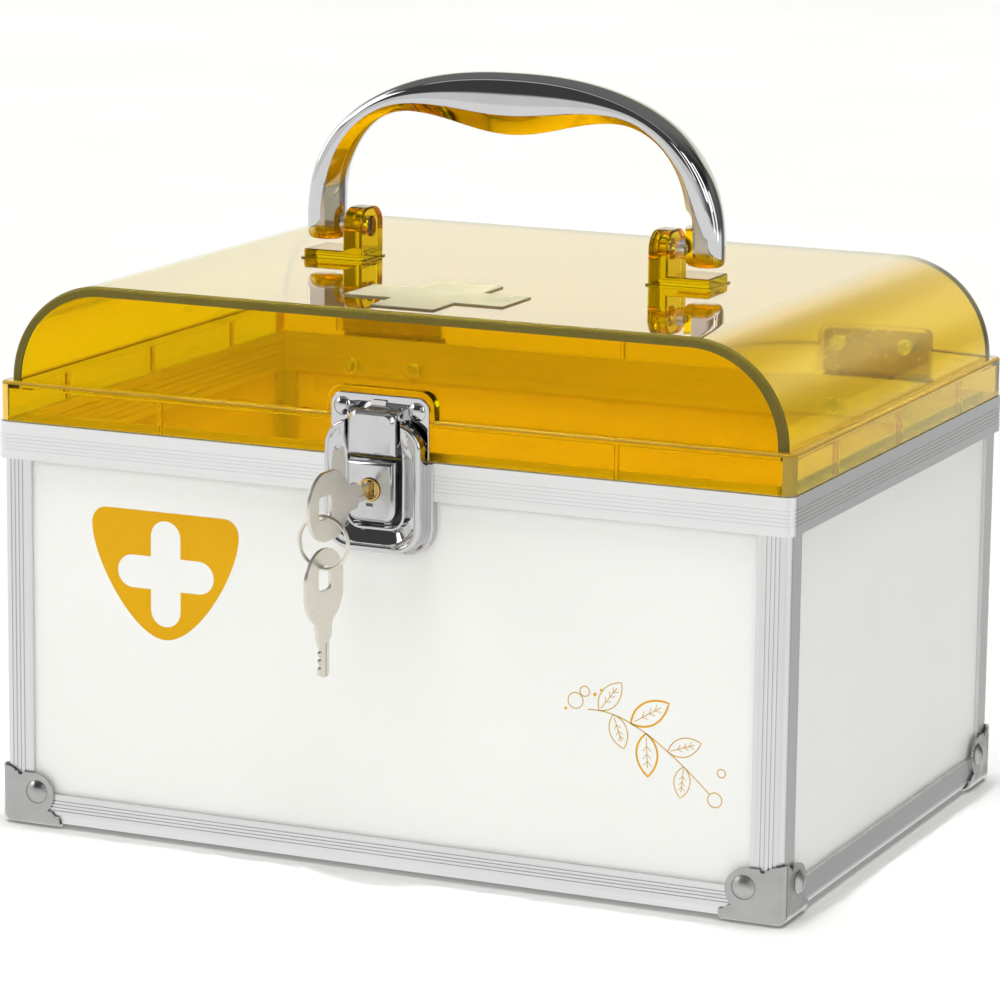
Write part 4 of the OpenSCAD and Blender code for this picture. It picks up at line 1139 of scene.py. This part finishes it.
def bez(p0, p1, p2, p3, n=20):
    return [V2(*[(1 - t) ** 3 * a + 3 * (1 - t) ** 2 * t * b + 3 * (1 - t) * t * t * c + t ** 3 * d for a, b, c, d in zip(p0, p1, p2, p3)]) for t in [i / n for i in range(n + 1)]]


def shield_outline():
    cx = -76.7
    hw = 26.3
    top = 108.0
    left = bez((-hw, 102.0 - 0), (-hw + 0.1, 91.0), (-11.8, 66.5), (0, 66.5), 28)
    pts = arc(-hw + 5.2, top - 5.2, 5.2, 90, 180, 8) + left
    right = [V2(-p.x, p.y) for p in pts[::-1]]
    return ccw([V2(p.x + cx, p.y) for p in pts + right[1:-1] + [right[-1]]])


def cross_hole(cx, cz, L, w):
    r = w
    pts = []
    for q in range(4):
        a = math.radians(90 * q)
        arm = [V2(r, w)] + arc(L - r, 0, r, 90, -90, 14)[::1] + [V2(r, -w)]
        pts += [V2(p.x * math.cos(-a) - p.y * math.sin(-a) + cx, p.x * math.sin(-a) + p.y * math.cos(-a) + cz) for p in arm]
    return clean(pts)


bm = bmesh.new()
plate(bm, [shield_outline(), cross_hole(-76.5, 88.0, 17.25, 5.35)], PANEL_Y - 0.02, PANEL_Y + 0.05, 0, 0, 1)
dress(to_object("print_shield", bm), INK, "box", (), 40, False)


def stroke(bm, pts, width, closed=False):
    """a thin raised line of ink along points in x, z"""
    n = len(pts)
    L, R = [], []
    for i, p in enumerate(pts):
        a = pts[i - 1] if (i > 0 or closed) else p
        b = pts[(i + 1) % n] if (i < n - 1 or closed) else p
        t = (b - a).normalized()
        nn = V2(-t.y, t.x) * (width / 2)
        L.append(p + nn)
        R.append(p - nn)
    w0, w1 = PANEL_Y - 0.02, PANEL_Y + 0.045
    rows = [[bm.verts.new(place_front(q.x, q.y, w)) for q in side] for side, w in ((L, w0), (L, w1), (R, w1), (R, w0))]
    m = n if closed else n - 1
    for i in range(m):
        j = (i + 1) % n
        for k in range(4):
            a, b = rows[k], rows[(k + 1) % 4]
            bm.faces.new((a[i], a[j], b[j], b[i]))
    if not closed:
        bm.faces.new([rows[k][0] for k in range(4)])
        bm.faces.new([rows[k][-1] for k in range(4)][::-1])


def blot(bm, pts):
    plate(bm, [pts], PANEL_Y - 0.02, PANEL_Y + 0.045, 0, 0, 1)


def leaf(cx, cz, ang, length, width, n=14):
    """outline of a simple pointed leaf growing from (cx, cz)"""
    up = bez((0, 0), (length * 0.25, width * 0.62), (length * 0.7, width * 0.6), (length, 0), n)
    dn = [V2(p.x, -p.y) for p in up[::-1]]
    a = math.radians(ang)
    return clean([V2(p.x * math.cos(a) - p.y * math.sin(a) + cx, p.x * math.sin(a) + p.y * math.cos(a) + cz) for p in up + dn[1:-1]])


# a plain sprig of leaves and berries: one curved stem, leaves in pairs
bm = bmesh.new()
bold = bmesh.new()
stem = bez((70, 60.5), (82, 62), (96, 52), (110.5, 38.5), 40)
stroke(bm, stem, 0.34)
for k, (i, side, L, W) in enumerate(((4, 1, 12.0, 6.6), (9, -1, 11.0, 6.4), (15, 1, 14.5, 7.8), (20, -1, 13.5, 7.6), (27, 1, 11.5, 6.4), (32, -1, 10.0, 5.8))):
    p = stem[i]
    t = (stem[i + 1] - stem[i - 1]).normalized()
    ang = math.degrees(math.atan2(t.y, t.x)) + side * 56
    lf = leaf(p.x, p.y, ang, L, W)
    a = math.radians(ang)
    heavy = k in (2, 3)
    stroke(bold if heavy else bm, lf, 0.62 if heavy else 0.34, True)
    vein = [p + V2(math.cos(a), math.sin(a)) * (L * f) for f in (0.08, 0.3, 0.55, 0.8)]
    stroke(bm, vein, 0.26)
    for f in (0.3, 0.48, 0.64):
        c = p + V2(math.cos(a), math.sin(a)) * (L * f)
        for sd in (-1, 1):
            b2 = a + sd * math.radians(42)
            stroke(bm, [c, c + V2(math.cos(b2), math.sin(b2)) * (W * 0.26)], 0.2)
stroke(bm, circle(stem[-1].x + 1.7, stem[-1].y - 1.6, 2.3, 30), 0.34, True)
for dx, dz, r in ((-4.2, 2.4, 2.5), (-1.2, 5.6, 1.6), (44.2, -15.0, 1.3)):
    stroke(bm, circle(70 + dx, 60.5 + dz, r, 28), 0.34, True)
for dx, dz, r in ((2.2, 5.0, 0.55), (4.2, 6.6, 0.4), (-7.4, -0.4, 0.5)):
    blot(bold, circle(70 + dx, 60.5 + dz, r, 16))
dress(to_object("print_sprig_lines", bm), INK_LINE, "box", (), 40, False)
dress(to_object("print_sprig_bold", bold), INK, "box", (), 40, False)


# ------------------------------------------------------------------ materials of the other frame nodes
# the panels' inner faces carry painted shade and painted amber light
NODE_MATS = {
    "bottom_panel": mat_laminate_painted_inner_shade("laminate_bottom", 2, 1), "front_panel": mat_laminate_painted_inner_shade("laminate_front", 1, 1), "back_panel": mat_laminate_painted_inner_shade("laminate_back", 1, -1),
    "left_panel": mat_laminate_painted_inner_shade("laminate_left", 0, 1), "right_panel": mat_laminate_painted_inner_shade("laminate_right", 0, -1),
    "post_front_left": ALU_Z, "post_front_right": ALU_Z, "post_back_left": ALU_Z, "post_back_right": ALU_Z,
    "top_rim": ALU_RIM, "rail_front": ALU_X, "rail_back": ALU_X, "rail_left": ALU_Y, "rail_right": ALU_Y,
    "cap_front_left": NICKEL, "cap_front_right": NICKEL, "cap_back_left": NICKEL, "cap_back_right": NICKEL,
    "hinge_left_body_leaf": STEEL, "hinge_right_body_leaf": STEEL, "hinge_left_lid_leaf": STEEL, "hinge_right_lid_leaf": STEEL,
    "hinge_left_pin": STEEL, "hinge_right_pin": STEEL, "lock_cam": STEEL, "hasp_pin": STEEL,
    "handle_pivot_screws": STEEL,
}
for node, mat in NODE_MATS.items():
    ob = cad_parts[node]
    ob.data.materials.clear()
    ob.data.materials.append(mat)

# ------------------------------------------------------------------ floor, light, camera
def floor():
    bm = bmesh.new()
    bmesh.ops.create_grid(bm, x_segments=1, y_segments=1, size=10.5)
    me = bpy.data.meshes.new("floor")
    bm.to_mesh(me)
    bm.free()
    ob = bpy.data.objects.new("floor", me)
    bpy.context.scene.collection.objects.link(ob)
    m, nt, b = new_mat("floor_paper")
    v = coords(nt, (1, 1, 1))
    nt.links.new(ramp(nt, noise(nt, v, 3, 2), [(0.3, (0.595, 0.595, 0.585)), (0.7, (0.625, 0.625, 0.615))]), b.inputs["Base Color"])
    b.inputs["Roughness"].default_value = 0.9
    b.inputs["Specular IOR Level"].default_value = 0.1
    me.materials.append(m)
    ob.location.z = -0.0002
    ob.visible_glossy = False


floor()

world = bpy.data.worlds.new("studio")
bpy.context.scene.world = world
world.use_nodes = True
wn = world.node_tree


def wmath(op, a, b=None, c=None):
    n = wn.nodes.new("ShaderNodeMath")
    n.operation = op
    for i, v in enumerate((a, b, c)):
        if v is None:
            continue
        if isinstance(v, (int, float)):
            n.inputs[i].default_value = v
        else:
            wn.links.new(v, n.inputs[i])
    return n.outputs[0]


def wstep(v, e0, e1, lo=0.0, hi=1.0):
    n = wn.nodes.new("ShaderNodeMapRange")
    n.interpolation_type = "SMOOTHSTEP"
    n.inputs["From Min"].default_value = e0
    n.inputs["From Max"].default_value = e1
    n.inputs["To Min"].default_value = lo
    n.inputs["To Max"].default_value = hi
    wn.links.new(v, n.inputs["Value"])
    return n.outputs["Result"]


def wdot(vec, axis):
    n = wn.nodes.new("ShaderNodeVectorMath")
    n.operation = "DOT_PRODUCT"
    n.inputs[1].default_value = axis
    wn.links.new(vec, n.inputs[0])
    return n.outputs["Value"]


tc = wn.nodes.new("ShaderNodeTexCoord")
D = tc.outputs["Generated"]


def softbox(centre, hw, hh, soft=0.03):
    """a soft-edged rectangle of light in the direction of centre"""
    c = Vector(centre).normalized()
    u = Vector((0, 0, 1)).cross(c).normalized()
    v = c.cross(u)
    a = wstep(wmath("ABSOLUTE", wdot(D, u)), hw, hw + soft, 1.0, 0.0)
    b = wstep(wmath("ABSOLUTE", wdot(D, v)), hh, hh + soft, 1.0, 0.0)
    f = wstep(wdot(D, c), 0.0, 0.05)
    return wmath("MULTIPLY", wmath("MULTIPLY", a, b), f)


WX, WZ = wdot(D, (1, 0, 0)), wdot(D, (0, 0, 1))
WY = wdot(D, (0, 1, 0))
back = wstep(WY, -0.35, -0.05)
# the bright wall ends low all round, a little higher behind
edge = wmath("MULTIPLY_ADD", back, 0.09, 0.24)
over = wmath("SUBTRACT", WZ, edge)
wall = wstep(WY, -0.2, 0.5, 0.84, 1.0)
dark = wstep(over, -0.03, 0.09)
dim = wmath("MULTIPLY_ADD", back, 0.13, 0.07)
sky = wmath("MULTIPLY_ADD", wmath("SUBTRACT", dim, wall), dark, wall)
side = wstep(WX, 0.25, 0.85, 1.0, 0.13)
low = wstep(WZ, -0.08, -0.02, 1.0, 0.0)
around = wmath("MULTIPLY", sky, side)
around = wmath("MULTIPLY_ADD", low, wmath("SUBTRACT", 1.03, around), around)
corner = wmath("MULTIPLY", wstep(WX, 0.28, 0.40, 0.0, 0.8), wstep(WY, 0.6, 0.8))
light = wmath("MULTIPLY", around, wmath("SUBTRACT", 1.0, corner))
for centre, hw, hh, power in (
    ((-0.85, -0.25, 0.55), 0.26, 0.17, 2.6),
    ((0.90, -0.10, 0.38), 0.06, 0.28, 2.0),
    ((0.78, -0.42, 0.46), 0.07, 0.30, 2.2),
    ((0.52, -0.70, 0.50), 0.03, 0.24, 1.6),
    ((-0.95, 0.25, 0.42), 0.10, 0.32, 1.6),
    ((0.0, -0.30, 0.95), 0.55, 0.03, 0.5),
    ((0.96, -0.24, 0.14), 0.08, 0.19, 1.4),
    ((0.98, 0.17, 0.12), 0.10, 0.20, 1.3),
):
    light = wmath("MULTIPLY_ADD", softbox(centre, hw, hh), power, light)
tint = wn.nodes.new("ShaderNodeCombineColor")
wn.links.new(light, tint.inputs[0])
wn.links.new(wmath("MULTIPLY", light, 0.998), tint.inputs[1])
warm = wmath("MULTIPLY", wstep(WY, 0.6, 0.8), wstep(WZ, -0.02, 0.05, 0.0, 0.12))
wn.links.new(wmath("MULTIPLY", light, wmath("SUBTRACT", 0.985, warm)), tint.inputs[2])
bg = wn.nodes["Background"]
wn.links.new(tint.outputs[0], bg.inputs["Color"])
bg.inputs["Strength"].default_value = 1.0


def area_light(name, loc, target, size, power, size_y=None, color=(1, 1, 1), glossy=True):
    li = bpy.data.lights.new(name, "AREA")
    li.energy = power
    li.shape = "RECTANGLE"
    li.size = size
    li.size_y = size_y or size
    li.color = color
    ob = bpy.data.objects.new(name, li)
    bpy.context.scene.collection.objects.link(ob)
    ob.location = loc
    d = Vector(target) - Vector(loc)
    ob.rotation_euler = d.to_track_quat("-Z", "Y").to_euler()
    ob.visible_glossy = glossy
    return ob


ceiling = area_light("ceiling_soft", (0, 0.6, 5.0), (0, 0.6, 0), 20, 1555, glossy=False)
ceiling.data.spread = math.radians(60)
front = area_light("front_soft", (-0.6, -3.2, 1.9), (0, 0, 0.08), 2.6, 27.5, 1.6, glossy=False)
top = area_light("top_soft", (0, 0.0, 1.7), (0, 0.0, 0), 0.20, 0.45, 0.13, glossy=False)
top.data.spread = math.radians(8)

cam = bpy.data.cameras.new("camera")
cam.sensor_width = 36
cam.lens = 165.374
cam.clip_start = 0.05
cam.clip_end = 60
co = bpy.data.objects.new("camera", cam)
bpy.context.scene.collection.objects.link(co)
r = Vector((0.91115678, 0.41191203, 0.01103669)).normalized()
f = Vector((-0.4015641, 0.89363644, -0.20040007)).normalized()
u = r.cross(f).normalized()
r = f.cross(u).normalized()
M = Matrix((r, u, -f)).transposed().to_4x4()
M.translation = Vector((0.60422572, -1.35265726, 0.40484584))
co.matrix_world = M
bpy.context.scene.camera = co
bpy.context.scene.view_settings.view_transform = "Standard"

bpy.context.view_layer.update()
